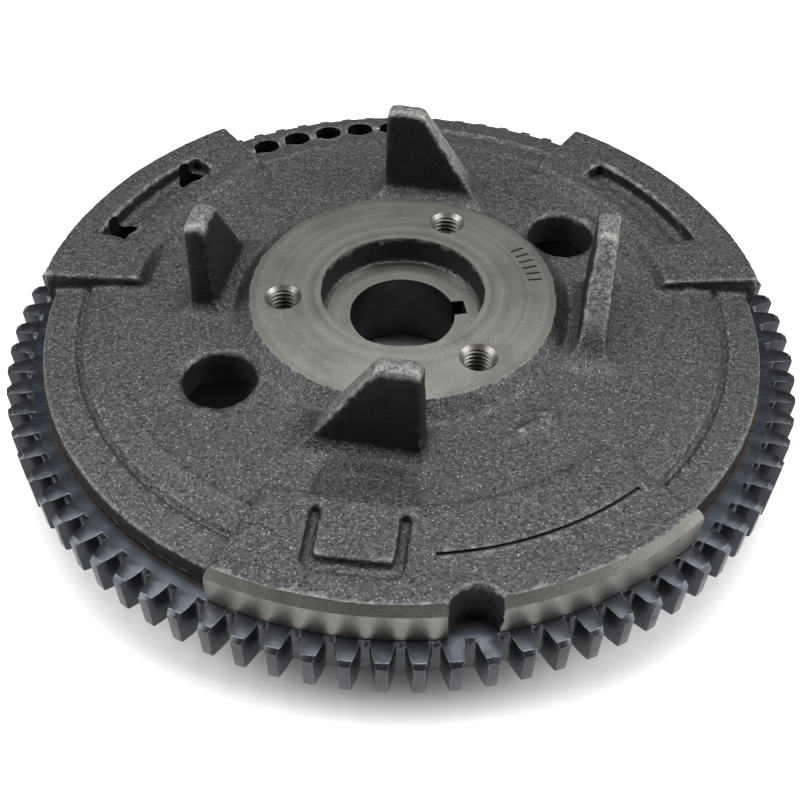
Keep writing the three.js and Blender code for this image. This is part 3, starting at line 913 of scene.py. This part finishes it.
@dataclass
class WheelCasting:
    """Cast iron wheel: blank, sand skin and machining."""

    datum: Datum
    skin: bpy.types.Material
    machined: bpy.types.Material
    recess_shade: bpy.types.Material
    band_height: float = 5.2
    web_height: float = 7.0
    pad_height: float = 10.0
    hub_height: float = 10.9
    seat_height: float = 2.8
    web_thickness: float = 9.0
    shoulder_radius: float = 88.5
    seat_radius: float = 86.7
    edge_radius: float = 87.9
    groove_radius: float = 80.4
    groove_width: float = 1.7
    groove_depth: float = 1.2
    ridge_radius: float = 72.3
    hub_face_radius: float = 37.8
    hub_foot_radius: float = 42.0
    cavity_radius: float = 75.0
    skirt_radius: float = 25.0
    hub_recess: float = 2.0
    counterbore_radius: float = 20.4
    counterbore_foot: float = 19.9
    nut_seat_radius: float = 19.26
    bore_radius: float = 13.3
    bore_taper: float = 0.1
    key_width: float = 5.0
    key_depth: float = 3.0
    key_angle: float = 10.5
    tap_circle: float = 29.6
    tap_angles: tuple[float, ...] = (-52.8, 67.2, 187.2)
    tap_minor: float = 3.4
    tap_major: float = 4.0
    tap_pitch: float = 1.25
    tap_mouth: float = 4.55
    web_hole_radius: float = 8.7
    web_hole_circle: float = 50.8
    web_hole_angles: tuple[float, ...] = (33.8, 213.8)
    fin_circle: float = 47.3
    fin_half_length: float = 13.2
    fin_top_length: float = 10.2
    fin_foot: float = 3.4
    fin_tip: float = 2.75
    fin_fillet: float = 4.6
    fin_rounding: int = 20
    fin_spare: float = 0.6
    fin_angles: tuple[float, ...] = (-9.9, 80.1, 170.1, 260.1)
    pad_inner: float = 65.5
    land_radius: float = 91.7
    land_height: float = 8.1
    land_top_radius: float = 90.0
    notch_angle: float = -80.4
    notch_circle: float = 92.7
    notch_foot: float = 5.2
    notch_mouth: float = 6.3
    island_angle: float = -96.4
    island_width: float = 16.4
    island_outer: float = 80.2
    island_groove: float = 2.3
    island_groove_end: float = 3.2
    island_depth: float = 2.4
    arrow_circle: float = 50.5
    arrow_angle: float = -53.0
    mark_count: int = 6
    mark_angle: float = 8.0
    mark_step: float = 4.2
    balance_radius: float = 3.8
    balance_circle: float = 80.35
    balance_depth: float = 5.0
    balance_angles: tuple[float, ...] = (120.8, 113.85, 106.9, 99.95, 93.0)
    pocket_balance_circle: float = 79.3
    pocket_balance_angles: tuple[float, ...] = (160.7, 139.8)
    pocket_depth: float = 4.4
    allowance: float = 1.2
    voxel: float = 0.52
    softness: int = 8
    kept: float = 0.235
    pads: tuple[Pad, ...] = (
        Pad(-114.3, -46.8, 93.6, 5.6, 66.6, False, 1.0),
        Pad(4.8, 56.0, 90.8, 9.5, 67.4, True, 2.6, Pocket(17.5, 46.0, 70.4, 75.0, 80.8)),
        Pad(126.4, 177.2, 90.8, 9.5, 69.4, False, 2.6, Pocket(136.5, 165.0, 72.3, 76.5, 83.0)),
    )

    def up(self, height: float) -> float:
        """Return the height above the floor of a height above the shoulder."""
        return self.datum.shoulder + height

    def rim_top(self, radius: float) -> float:
        """Return the height of the rim's upper face, which falls from the ridge to the outer edge."""
        share = (self.edge_radius - radius) / (self.edge_radius - self.ridge_radius)
        return self.up(self.band_height + share * (self.web_height - self.band_height))

    def disc(self) -> bmesh.types.BMesh:
        """Turned shape of the blank: skirt, rim, web and hub."""
        web_bottom = self.up(self.web_height - self.web_thickness)
        hub_top = self.up(self.hub_height + self.allowance)
        core = self.bore_radius - 3 * self.allowance
        outline = [
            (core, self.hub_recess - self.allowance),
            (self.skirt_radius, self.hub_recess - self.allowance),
            (self.skirt_radius, web_bottom - 3.5),
            (self.skirt_radius + 3.5, web_bottom),
            (self.cavity_radius - 1.7 - self.allowance / 2, web_bottom),
            (self.cavity_radius - self.allowance / 2, web_bottom - 1.7),
            (self.cavity_radius - self.allowance / 2, -self.allowance),
            (self.shoulder_radius + 0.2, -self.allowance),
            (self.shoulder_radius, self.datum.shoulder),
            (self.edge_radius + 0.2, self.up(self.band_height)),
            (self.groove_radius, self.rim_top(self.groove_radius)),
            (self.groove_radius - 0.1, self.rim_top(self.groove_radius) - self.groove_depth),
            (self.groove_radius - self.groove_width + 0.1, self.rim_top(self.groove_radius) - self.groove_depth),
            (self.groove_radius - self.groove_width, self.rim_top(self.groove_radius - self.groove_width)),
            (self.ridge_radius + 0.8, self.rim_top(self.ridge_radius + 0.8)),
            (self.ridge_radius, self.up(self.web_height + 0.55)),
            (self.ridge_radius - 0.8, self.up(self.web_height)),
            (self.hub_foot_radius, self.up(self.web_height)),
            (self.hub_face_radius - self.allowance, hub_top),
            (self.counterbore_radius, hub_top),
            (self.counterbore_foot, self.up(self.seat_height + 0.7)),
            (core, self.up(self.seat_height + 0.7)),
        ]
        return revolve(outline)

    def fin_ring(self, angle: float, level: float, spread: float) -> list[Vector]:
        """Return the corners of a fin's level section.

        Args:
            angle: Angle of the plate's middle, in degrees.
            level: Height above the web.
            spread: How far the section is widened on every side.

        Returns:
            Four corners, anticlockwise.
        """
        web = self.up(self.web_height)
        share = max(level, 0.0) / (self.datum.fin_top - web)
        half = self.fin_foot + (self.fin_tip - self.fin_foot) * share + spread
        upright = self.fin_half_length + 0.6 - 0.9 * share + 0.7 * spread
        slope = -self.fin_half_length + share * (2 * self.fin_half_length - self.fin_top_length) - 0.7 * spread
        corners = [(-half, slope), (half, slope), (half, upright), (-half, upright)]
        return [about_z(angle) @ Vector((self.fin_circle + x, y, web + level)) for x, y in corners]

    def fin(self, angle: float) -> bmesh.types.BMesh:
        """Make one fin's plate: draft on its sides, one upright end and one sloping end."""
        tall = self.datum.fin_top - self.up(self.web_height) + self.fin_spare
        return stack([self.fin_ring(angle, level, 0.0) for level in (-4.0, 0.0, tall * 0.5, tall)])

    def fin_fillets(self, angle: float) -> bmesh.types.BMesh:
        """Make the flared foot of one fin."""
        rings = []
        for level in (-2.0, 0.0, 0.3, 0.9, 1.8, 3.0, self.fin_fillet):
            reach = 1.0 - max(level, 0.0) / self.fin_fillet
            flare = self.fin_fillet * (1.0 - math.sqrt(1.0 - reach * reach))
            rings.append(self.fin_ring(angle, level, flare - 0.25))
        return stack(rings)

    def pad(self, pad: Pad) -> bmesh.types.BMesh:
        """Make one raised pad with a slanted inner corner.

        Args:
            pad: Its sizes.

        Returns:
            A closed body.
        """
        steps = 24
        first, last = pad.start, pad.end
        if pad.slant_at_end:
            last -= pad.slant_angle
        else:
            first += pad.slant_angle
        rings = []
        for height, spread in ((-1.0, 1.0), (self.web_height - 0.6, 1.0), (self.pad_height, 0.0)):
            inset = (spread - 0.5) * pad.slope
            draft = math.degrees(0.35 * spread / self.pad_inner)
            start, end = pad.start - draft, pad.end + draft
            outer = [polar(pad.outer, start + (end - start) * i / steps) for i in range(steps + 1)]
            inner = [polar(self.pad_inner - inset, last + (first - last) * i / steps) for i in range(steps + 1)]
            corner = polar(pad.slant_radius - inset, end if pad.slant_at_end else start)
            corners = outer + [corner] + inner if pad.slant_at_end else outer + inner + [corner]
            rings.append([Vector((point.x, point.y, self.up(height))) for point in corners])
        return stack(rings)

    def ramp(self) -> bmesh.types.BMesh:
        """Make the slope from the front fin's foot up to the island."""
        turn = about_z(self.island_angle)
        wide = self.island_width / 2 + self.island_groove
        foot = self.pad_inner - 13.0
        head = self.pad_inner + 3.2
        rings = []
        for y in (-wide - 0.6, -wide + 0.6, wide - 0.6, wide + 0.6):
            drop = 0.8 if abs(y) > wide else 0.0
            corners = [
                (foot, self.web_height - 1.5), (head, self.web_height - 1.5), (head, self.pad_height - drop),
                (head - 2.0, self.pad_height - drop), (foot + 6.5, self.web_height + 1.1 - drop),
                (foot, self.web_height + 0.2 - drop),
            ]
            rings.append([turn @ Vector((x, y, self.up(height))) for x, height in corners])
        return stack(rings)

    def hollows(self) -> list[bmesh.types.BMesh]:
        """Return what the mould leaves open: pockets, notch, web holes and the island's groove."""
        top = self.up(self.pad_height + 3)
        made = []
        for pad in self.pads:
            pocket = pad.pocket
            if pocket:
                ledge = self.up(self.pad_height - 1.6)
                floor = self.up(self.pad_height - self.pocket_depth)
                made.append(ring_sector(pocket.inner, pocket.outer - 2, ledge, top, pocket.start, pocket.end))
                trench = [
                    (pocket.ledge, ledge - 0.4), (pocket.ledge + 1.4, floor + 0.3), (pocket.outer - 1.2, floor),
                    (pocket.outer - 0.5, floor + 0.6), (pocket.outer, top), (pocket.ledge, top),
                ]
                made.append(revolve(trench, pocket.start, pocket.end - pocket.start, 24))
        notch = polar(self.notch_circle, self.notch_angle)
        made.append(cone(notch, self.notch_foot, self.notch_mouth, self.datum.shoulder - 4, top, 48))
        for angle in self.web_hole_angles:
            hole = polar(self.web_hole_circle, angle)
            made.append(cone(hole, self.web_hole_radius, self.web_hole_radius, 8, top, 48))
            lip = self.up(self.web_height)
            made.append(cone(hole, self.web_hole_radius - 0.2, self.web_hole_radius + 0.8, lip - 1.0, lip + 0.2, 48))
        wide = self.island_width / 2 + self.island_groove
        end = self.island_outer + self.island_groove_end
        made.append(self.island(wide, end, 3.0, self.pad_height + 3.0, self.pad_height - self.island_depth))
        return made

    def island(self, half: float, end: float, corner: float, high: float, low: float = 4.0) -> bmesh.types.BMesh:
        """Make an upright plate with two rounded outer corners, on the island's axis.

        Args:
            half: Half its width.
            end: Radius of its outer end.
            corner: Radius of its corners.
            high: Height of its top above the shoulder.
            low: Height of its bottom above the shoulder.

        Returns:
            A closed body.
        """
        inner = self.pad_inner + 2.6
        turn = about_z(self.island_angle)
        points = [(inner, -half)]
        for side, first in ((-1, -90), (1, 0)):
            for i in range(7):
                angle = math.radians(first + 15 * i)
                points.append((end - corner + corner * math.cos(angle), side * (half - corner) + corner * math.sin(angle)))
        points.append((inner, half))
        return plate([turn @ Vector((x, y, 0)) for x, y in points], self.up(low), self.up(high))

    def arrow(self) -> bmesh.types.BMesh:
        """Make the raised arrow on the web that shows which way the wheel turns."""
        turn = about_z(self.arrow_angle)
        outline = [(-0.9, -5.5), (0.9, -5.5), (0.9, 1.5), (2.8, 1.5), (0.0, 6.0), (-2.8, 1.5), (-0.9, 1.5)]
        points = [turn @ Vector((self.arrow_circle + x, y, 0)) for x, y in outline]
        return plate(points, self.up(self.web_height - 2), self.up(self.web_height + 0.9))

    def marks(self) -> list[bmesh.types.BMesh]:
        """Return the cutters of the plain tally strokes engraved on the hub face."""
        top = self.up(self.hub_height)
        made = []
        for i in range(self.mark_count):
            angle = self.mark_angle + i * self.mark_step
            made.append(block((31.6, -0.3, top - 0.15), (35.4, 0.3, top + 1), angle))
        return made

    def sand_strength(self, point: Vector) -> float:
        """Return how rough the mould is at a point: more in pockets, notch and web holes."""
        radius = math.hypot(point.x, point.y)
        angle = math.degrees(math.atan2(point.y, point.x))
        strength = 0.55
        for pad in self.pads:
            pocket = pad.pocket
            if pocket and pocket.inner - 1 < radius < pocket.outer + 1 and pocket.start - 2 < angle < pocket.end + 2:
                strength = 1.5
        if (point.xy - polar(self.notch_circle, self.notch_angle).xy).length < self.notch_mouth + 1.2:
            strength = 1.6
        for hole in self.web_hole_angles:
            if (point.xy - polar(self.web_hole_circle, hole).xy).length < self.web_hole_radius + 2.5:
                strength = 1.3
        if radius < self.counterbore_radius + 0.6 and point.z > self.up(self.seat_height):
            strength = 0.9
        if self.hub_face_radius - 2 < radius < self.hub_foot_radius and point.z > self.up(self.web_height):
            strength = 1.2
        if radius > self.hub_foot_radius and point.z > self.up(self.pad_height):
            strength = 1.0
        return strength

    def thread(self, angle: float) -> bmesh.types.BMesh:
        """Make the helical cutter of one tapped hole.

        Args:
            angle: Angle of the hole's axis, in degrees.

        Returns:
            A closed body as long as the hub is thick.
        """
        steps = 20
        low = 12.0
        turns = math.ceil((self.up(self.hub_height) + 2 - low) / self.tap_pitch)
        pitch = self.tap_pitch
        bm = bmesh.new()
        shape = [(self.tap_minor, 0.0), (self.tap_minor, 0.2), (self.tap_major, 0.5), (self.tap_major, 0.62), (self.tap_minor, 1.0)]
        points = [bm.verts.new((radius, 0.0, low + share * pitch)) for radius, share in shape]
        edges = [bm.edges.new(pair) for pair in zip(points, points[1:])]
        bmesh.ops.spin(
            bm, geom=points + edges, cent=(0, 0, 0), axis=(0, 0, 1), angle=math.tau * turns,
            steps=steps * turns, dvec=(0, 0, pitch / steps), use_merge=False, use_duplicate=False,
        )
        bmesh.ops.remove_doubles(bm, verts=bm.verts, dist=1e-3)
        rims = [edge for edge in bm.edges if edge.is_boundary]
        bmesh.ops.holes_fill(bm, edges=rims, sides=0)
        bmesh.ops.triangulate(bm, faces=[face for face in bm.faces if len(face.verts) > 4])
        bmesh.ops.recalc_face_normals(bm, faces=bm.faces)
        centre = polar(self.tap_circle, angle)
        bmesh.ops.translate(bm, vec=centre, verts=bm.verts)
        return bm

    def machining(self) -> list[bmesh.types.BMesh]:
        """Return the cutters of everything that is machined except the threads."""
        top = self.up(self.hub_height)
        seat = self.up(self.seat_height)
        axis = Vector((0, 0, 0))
        land = self.up(self.land_height)
        rise = self.pad_height - self.land_height
        run = self.land_radius - self.land_top_radius
        over = 3.0
        mouth = self.tap_mouth - self.tap_minor
        tools = [
            revolve([(4, top), (42, top), (42, top + 4), (4, top + 4)]),
            cone(axis, self.nut_seat_radius, self.nut_seat_radius, seat, seat + 1.5, 128),
            cone(axis, self.skirt_radius + 2, self.skirt_radius + 2, -3, self.hub_recess, 96),
            revolve([(self.seat_radius, -3), (98, -3), (98, self.datum.shoulder), (self.seat_radius, self.datum.shoulder)]),
            revolve([(60, -3), (self.seat_radius + 1, -3), (self.seat_radius + 1, 0), (60, 0)]),
            revolve([(68, -3), (self.cavity_radius, -3), (self.cavity_radius, 16.3), (self.cavity_radius - 1, 17.3), (68, 17.3)]),
            revolve(
                [(self.land_radius, 18), (98, 18), (98, land + rise + over),
                 (self.land_radius - run * (rise + over) / rise, land + rise + over), (self.land_radius, land)],
                -120.0, 78.0, 96,
            ),
        ]
        for angle in self.tap_angles:
            hole = polar(self.tap_circle, angle)
            tools.append(cone(hole, self.tap_minor, self.tap_mouth + 1, top - mouth, top + 1, 48))
        return tools

    def boring(self) -> list[bmesh.types.BMesh]:
        """Return the cutters whose faces get the near-black painted shade: taper bore, keyway and the pad's fine
        groove.
        """
        seat = self.up(self.seat_height)
        lift = 2.0
        foot = self.bore_radius + (seat + lift) * self.bore_taper
        key = self.bore_radius + self.key_depth
        return [
            cone(Vector((0, 0, 0)), foot, self.bore_radius - lift * self.bore_taper, -lift, seat + lift, 128),
            block((0, -self.key_width / 2, -lift), (key, self.key_width / 2, seat + 1), self.key_angle),
            ring_sector(78.2, 79.0, self.up(self.pad_height - 0.6), self.up(self.pad_height + 3), -84.5, -50.4),
        ]

    def balancing(self) -> list[bmesh.types.BMesh]:
        """Return the cutters of the balancing holes, with their drill points."""
        tools = []
        holes = [polar(self.balance_circle, angle) for angle in self.balance_angles]
        holes += [polar(self.pocket_balance_circle, angle) for angle in self.pocket_balance_angles]
        for hole in holes:
            floor = -self.balance_depth
            tools.append(cone(hole, self.balance_radius, self.balance_radius, self.up(floor + 1), self.up(13), 40))
            tools.append(cone(hole, 0.3, self.balance_radius, self.up(floor), self.up(floor + 1), 40))
        return tools

    def build(self) -> bpy.types.Object:
        """Cast and machine the wheel.

        Returns:
            The finished piece.
        """
        finishes = [self.skin, self.machined, self.recess_shade]
        blank = Body("wheel_casting", self.disc())
        for pad in self.pads:
            blank.join(self.pad(pad))
        blank.join(self.ramp())
        for angle in self.fin_angles:
            plate_body = Body("fin", self.fin(angle))
            plate_body.soften(self.voxel * 1.3, self.fin_rounding)
            blank.work(plate_body, Cut.JOIN)
            blank.join(self.fin_fillets(angle))
        for tool in self.hollows():
            blank.cut(tool)
        blank.join(self.island(self.island_width / 2, self.island_outer, 1.6, self.pad_height - 0.05))
        blank.join(self.arrow())
        LOG.info("blank ready")
        blank.soften(self.voxel, self.softness)
        blank.roughen(self.sand_strength, ((1.3, 0.12), (2.6, 0.14), (9.0, 0.16), (30.0, 0.16)))
        blank.thin(self.kept)
        LOG.info("sand skin ready: %d faces", len(blank.object.data.polygons))
        blank.wear(finishes, 0)
        blank.work(gather(self.machining(), finishes, 1), Cut.REMOVE)
        blank.work(gather(self.boring(), finishes, 2), Cut.REMOVE)
        blank.work(gather(self.balancing(), finishes, 2), Cut.REMOVE)
        blank.work(gather(self.marks(), finishes, 2), Cut.REMOVE)
        blank.work(gather([self.thread(angle) for angle in self.tap_angles], finishes, 1), Cut.REMOVE)
        piece = blank.finish()
        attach(piece, "root")
        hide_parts("flywheel_casting")
        return piece


# ------------------------------------------------------------------ ring gear


@dataclass
class StarterGear:
    """Starter ring gear: turned blank, hobbed teeth, entry bevels on one flank."""

    datum: Datum
    steel: bpy.types.Material
    teeth: int = 84
    phase: float = 2.69
    root_radius: float = 92.81
    tip_width: float = 2.2
    root_gap: float = 2.0
    bulge: float = 0.08
    bore_radius: float = 87.0
    chamfer: float = 0.55
    bevel: float = 0.16

    def outline(self) -> list[Vector]:
        """Corners of all teeth in plan."""
        tip = self.datum.tip_radius
        pitch = 360.0 / self.teeth
        root_half = pitch / 2 - math.degrees(self.root_gap / 2 / self.root_radius)
        tip_half = math.degrees(self.tip_width / 2 / tip)
        middle = (tip + self.root_radius) / 2
        middle_half = (root_half + tip_half) / 2 + math.degrees(self.bulge / middle)
        low = self.root_radius + 0.35
        low_half = root_half - 0.12
        flank = [(self.root_radius, root_half + 0.1), (low, low_half), (middle, middle_half), (tip, tip_half)]
        corners = []
        for i in range(self.teeth):
            centre = self.phase + i * pitch
            corners += [polar(radius, centre - half) for radius, half in flank]
            corners += [polar(radius, centre + half) for radius, half in reversed(flank)]
        return corners

    def entry_bevels(self) -> bmesh.types.BMesh:
        """Wedges that bevel one flank of every tooth at its upper end."""
        bm = bmesh.new()
        tip = self.datum.tip_radius
        for i in range(self.teeth):
            angle = self.phase + (i + 0.0) * 360.0 / self.teeth
            spot = Matrix.Translation(Vector((tip - 1.6, self.tip_width / 2 + 1.6, self.datum.gear_top + 0.55)))
            lean = Matrix.Rotation(math.radians(-38.0), 4, "X") @ Matrix.Diagonal((9.0, 3.2, 1.6, 1.0))
            bmesh.ops.create_cube(bm, size=1.0, matrix=about_z(angle) @ spot @ lean)
        return bm

    def build(self) -> bpy.types.Object:
        """Turn, hob and bevel the gear.

        Returns:
            The finished piece.
        """
        low, high = self.datum.gear_bottom, self.datum.gear_top
        tip = self.datum.tip_radius
        gear = Body("starter_gear", plate(self.outline(), low - 1, high + 1))
        blank = revolve([
            (self.bore_radius + 0.6, low), (tip - 0.3, low), (tip + 0.4, low + 0.7), (tip + 0.4, high - self.chamfer - 0.2),
            (tip - 2.2 * self.chamfer, high), (self.bore_radius + 0.2, high), (self.bore_radius, high - 0.2),
            (self.bore_radius, low + 0.6),
        ], steps=252)
        gear.work(Body("tool", blank), Cut.KEEP)
        gear.cut(self.entry_bevels())
        bm = bmesh.new()
        bm.from_mesh(gear.object.data)
        rubbed = bm.faces.layers.float.new("rubbed")
        bmesh.ops.remove_doubles(bm, verts=bm.verts, dist=0.01)
        bmesh.ops.dissolve_limit(bm, angle_limit=math.radians(0.6), verts=bm.verts, edges=bm.edges)
        edges = [e for e in bm.edges if e.calc_face_angle(0.0) > math.radians(24) and e.calc_length() > 0.4]
        made = bmesh.ops.bevel(
            bm, geom=edges, offset=self.bevel, segments=2, profile=0.5, affect="EDGES", material=-1, clamp_overlap=True,
        )
        for face in made["faces"]:
            face[rubbed] = 1.0
        bm.to_mesh(gear.object.data)
        bm.free()
        gear.wear([self.steel])
        piece = gear.finish(40.0)
        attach(piece, "root")
        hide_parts("ring_gear")
        return piece


# ------------------------------------------------------------------ magnets


@dataclass
class MagnetRing:
    """Alternator magnets in their cage, with a thin sleeve over them."""

    ferrite: bpy.types.Material
    plastic: bpy.types.Material
    steel: bpy.types.Material
    count: int = 12
    arc: float = 26.0
    inner: float = 68.3
    outer: float = 74.7
    cage_outer: float = 73.0
    sleeve_outer: float = 68.0
    sleeve_wall: float = 0.7

    def magnet(self, number: int) -> bpy.types.Object:
        """Make one magnet.

        Args:
            number: Its number, from 1.

        Returns:
            The finished piece.
        """
        node = f"magnet_{number:02d}"
        low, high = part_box(node)
        middle = (number - 1) * 360.0 / self.count
        bm = revolve(
            [(self.inner, low[2] / MM), (self.outer, low[2] / MM), (self.outer, high[2] / MM), (self.inner, high[2] / MM)],
            middle - self.arc / 2, self.arc, 16,
        )
        edges = [edge for edge in bm.edges if edge.calc_face_angle(0.0) > math.radians(60)]
        bmesh.ops.bevel(
            bm, geom=edges, offset=0.6, segments=3, profile=0.5, affect="EDGES", material=-1, clamp_overlap=True,
        )
        body = Body(f"rotor_magnet_{number:02d}", bm)
        body.wear([self.ferrite])
        piece = body.finish()
        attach(piece, "root")
        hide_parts(node)
        return piece

    def cage(self) -> bpy.types.Object:
        """Make the cage: a ring with a finger between each pair of magnets."""
        low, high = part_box("magnet_cage")
        bottom, top = low[2] / MM, high[2] / MM
        ring = top - 1.4
        body = Body("cage_ring", revolve([(self.inner, ring), (self.cage_outer, ring), (self.cage_outer, top), (self.inner, top)]))
        spare = (360.0 / self.count - self.arc) / 2 - 0.25
        for i in range(self.count):
            middle = (i + 0.5) * 360.0 / self.count
            body.join(ring_sector(self.inner + 0.15, self.cage_outer - 0.15, bottom, ring + 0.15, middle - spare, middle + spare))
        body.wear([self.plastic])
        piece = body.finish()
        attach(piece, "root")
        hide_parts("magnet_cage")
        return piece

    def sleeve(self) -> bpy.types.Object:
        """Make the thin steel sleeve with rolled edges."""
        low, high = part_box("magnet_sleeve")
        bottom, top = low[2] / MM, high[2] / MM
        inner = self.sleeve_outer - self.sleeve_wall
        half = self.sleeve_wall / 2
        outline = [
            (inner, bottom + half), (inner + 0.12, bottom + 0.1), (inner + half, bottom), (self.sleeve_outer - 0.12, bottom + 0.1),
            (self.sleeve_outer, bottom + half), (self.sleeve_outer, top), (inner, top),
        ]
        body = Body("sleeve_tube", revolve(outline))
        body.wear([self.steel])
        piece = body.finish(50.0)
        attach(piece, "root")
        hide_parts("magnet_sleeve")
        return piece

    def build(self) -> list[bpy.types.Object]:
        """Make all pieces of the magnet ring."""
        return [self.cage(), self.sleeve()] + [self.magnet(i + 1) for i in range(self.count)]


# ------------------------------------------------------------------ studio


@dataclass
class Studio:
    """Floor, lights and camera."""

    datum: Datum
    floor_finish: bpy.types.Material
    lens: float = 46.46
    elevation: float = 42.52816
    distance: float = 0.2648349
    yaw: float = -0.04343
    pitch: float = 4.34352
    roll: float = -1.06503
    floor_gap: float = 0.0002

    def camera(self) -> bpy.types.Object:
        """Place the camera in front of the wheel and above it."""
        rise = math.radians(self.elevation)
        back = Vector((0, -math.cos(rise), math.sin(rise)))
        up = Vector((0, math.sin(rise), math.cos(rise)))
        right = Vector((1, 0, 0))
        look = Matrix((right, up, back))
        turn = (
            Matrix.Rotation(math.radians(self.roll), 3, "Z")
            @ Matrix.Rotation(math.radians(self.pitch), 3, "X")
            @ Matrix.Rotation(math.radians(self.yaw), 3, "Y")
        )
        data = bpy.data.cameras.new("camera")
        data.lens = self.lens
        data.sensor_width = 36.0
        data.clip_start = 0.01
        data.clip_end = 20.0
        camera = bpy.data.objects.new("camera", data)
        target = Vector((0, 0, self.datum.shoulder * MM))
        camera.matrix_world = Matrix.Translation(target + self.distance * back) @ (turn @ look).transposed().to_4x4()
        bpy.context.scene.collection.objects.link(camera)
        bpy.context.scene.camera = camera
        return camera

    def panel(self, name: str, place: Sequence[float], size: tuple[float, float], power: float, aim: Sequence[float] = (0, 0, 0.02)) -> None:
        """Add a soft light panel.

        Args:
            name: Name of the light.
            place: Where it stands, in metres.
            size: Width and height, in metres.
            power: Power in watts.
            aim: Point that it faces.
        """
        data = bpy.data.lights.new(name, "AREA")
        data.shape = "RECTANGLE"
        data.size, data.size_y = size
        data.energy = power
        light = bpy.data.objects.new(name, data)
        light.location = place
        light.rotation_euler = (Vector(aim) - Vector(place)).to_track_quat("-Z", "Y").to_euler()
        bpy.context.scene.collection.objects.link(light)

    def floor(self) -> None:
        """Lay the floor."""
        bm = bmesh.new()
        drop = Matrix.Translation((0, 0, -self.floor_gap))
        bmesh.ops.create_grid(bm, x_segments=2, y_segments=2, size=3.0, matrix=drop)
        body = Body("floor", bm)
        body.object.data.materials.append(self.floor_finish)

    def build(self) -> None:
        """Set the stage."""
        self.camera()
        self.floor()
        self.panel("overhead", (0.0, 0.25, 1.1), (0.9, 0.7), 14.5)
        self.panel("left", (-0.8, -0.12, 0.6), (0.6, 0.6), 10.0)
        self.panel("right", (0.8, -0.12, 0.6), (0.6, 0.6), 10.0)
        world = bpy.data.worlds.new("studio")
        world.use_nodes = True
        background = world.node_tree.nodes["Background"]
        background.inputs["Color"].default_value = (1.0, 1.0, 1.0, 1.0)
        background.inputs["Strength"].default_value = 0.1
        scene = bpy.context.scene
        scene.world = world
        scene.view_settings.view_transform = "Standard"


# ------------------------------------------------------------------ assembly


def main() -> None:
    """Build every sub-assembly in order and report each piece."""
    logging.basicConfig(level=logging.INFO, format="%(name)s: %(message)s")
    datum = Datum.from_frame()
    Studio(datum, StudioFloor("studio_floor").build()).build()
    casting = WheelCasting(
        datum, CastIron("cast_iron_skin").build(), MachinedIron("machined_iron").build(), RecessShadeIron("recess_shade_iron").build()
    )
    pieces = [casting.build()]
    pieces.append(StarterGear(datum, GearSteel("gear_steel").build()).build())
    magnets = MagnetRing(
        Ferrite("ferrite").build(), CagePlastic("cage_plastic").build(), StainlessSheet("stainless_sheet").build()
    )
    pieces += magnets.build()
    for piece in pieces:
        LOG.info("%s: %d faces", piece.name, len(piece.data.polygons))


if __name__ == "__main__":
    main()
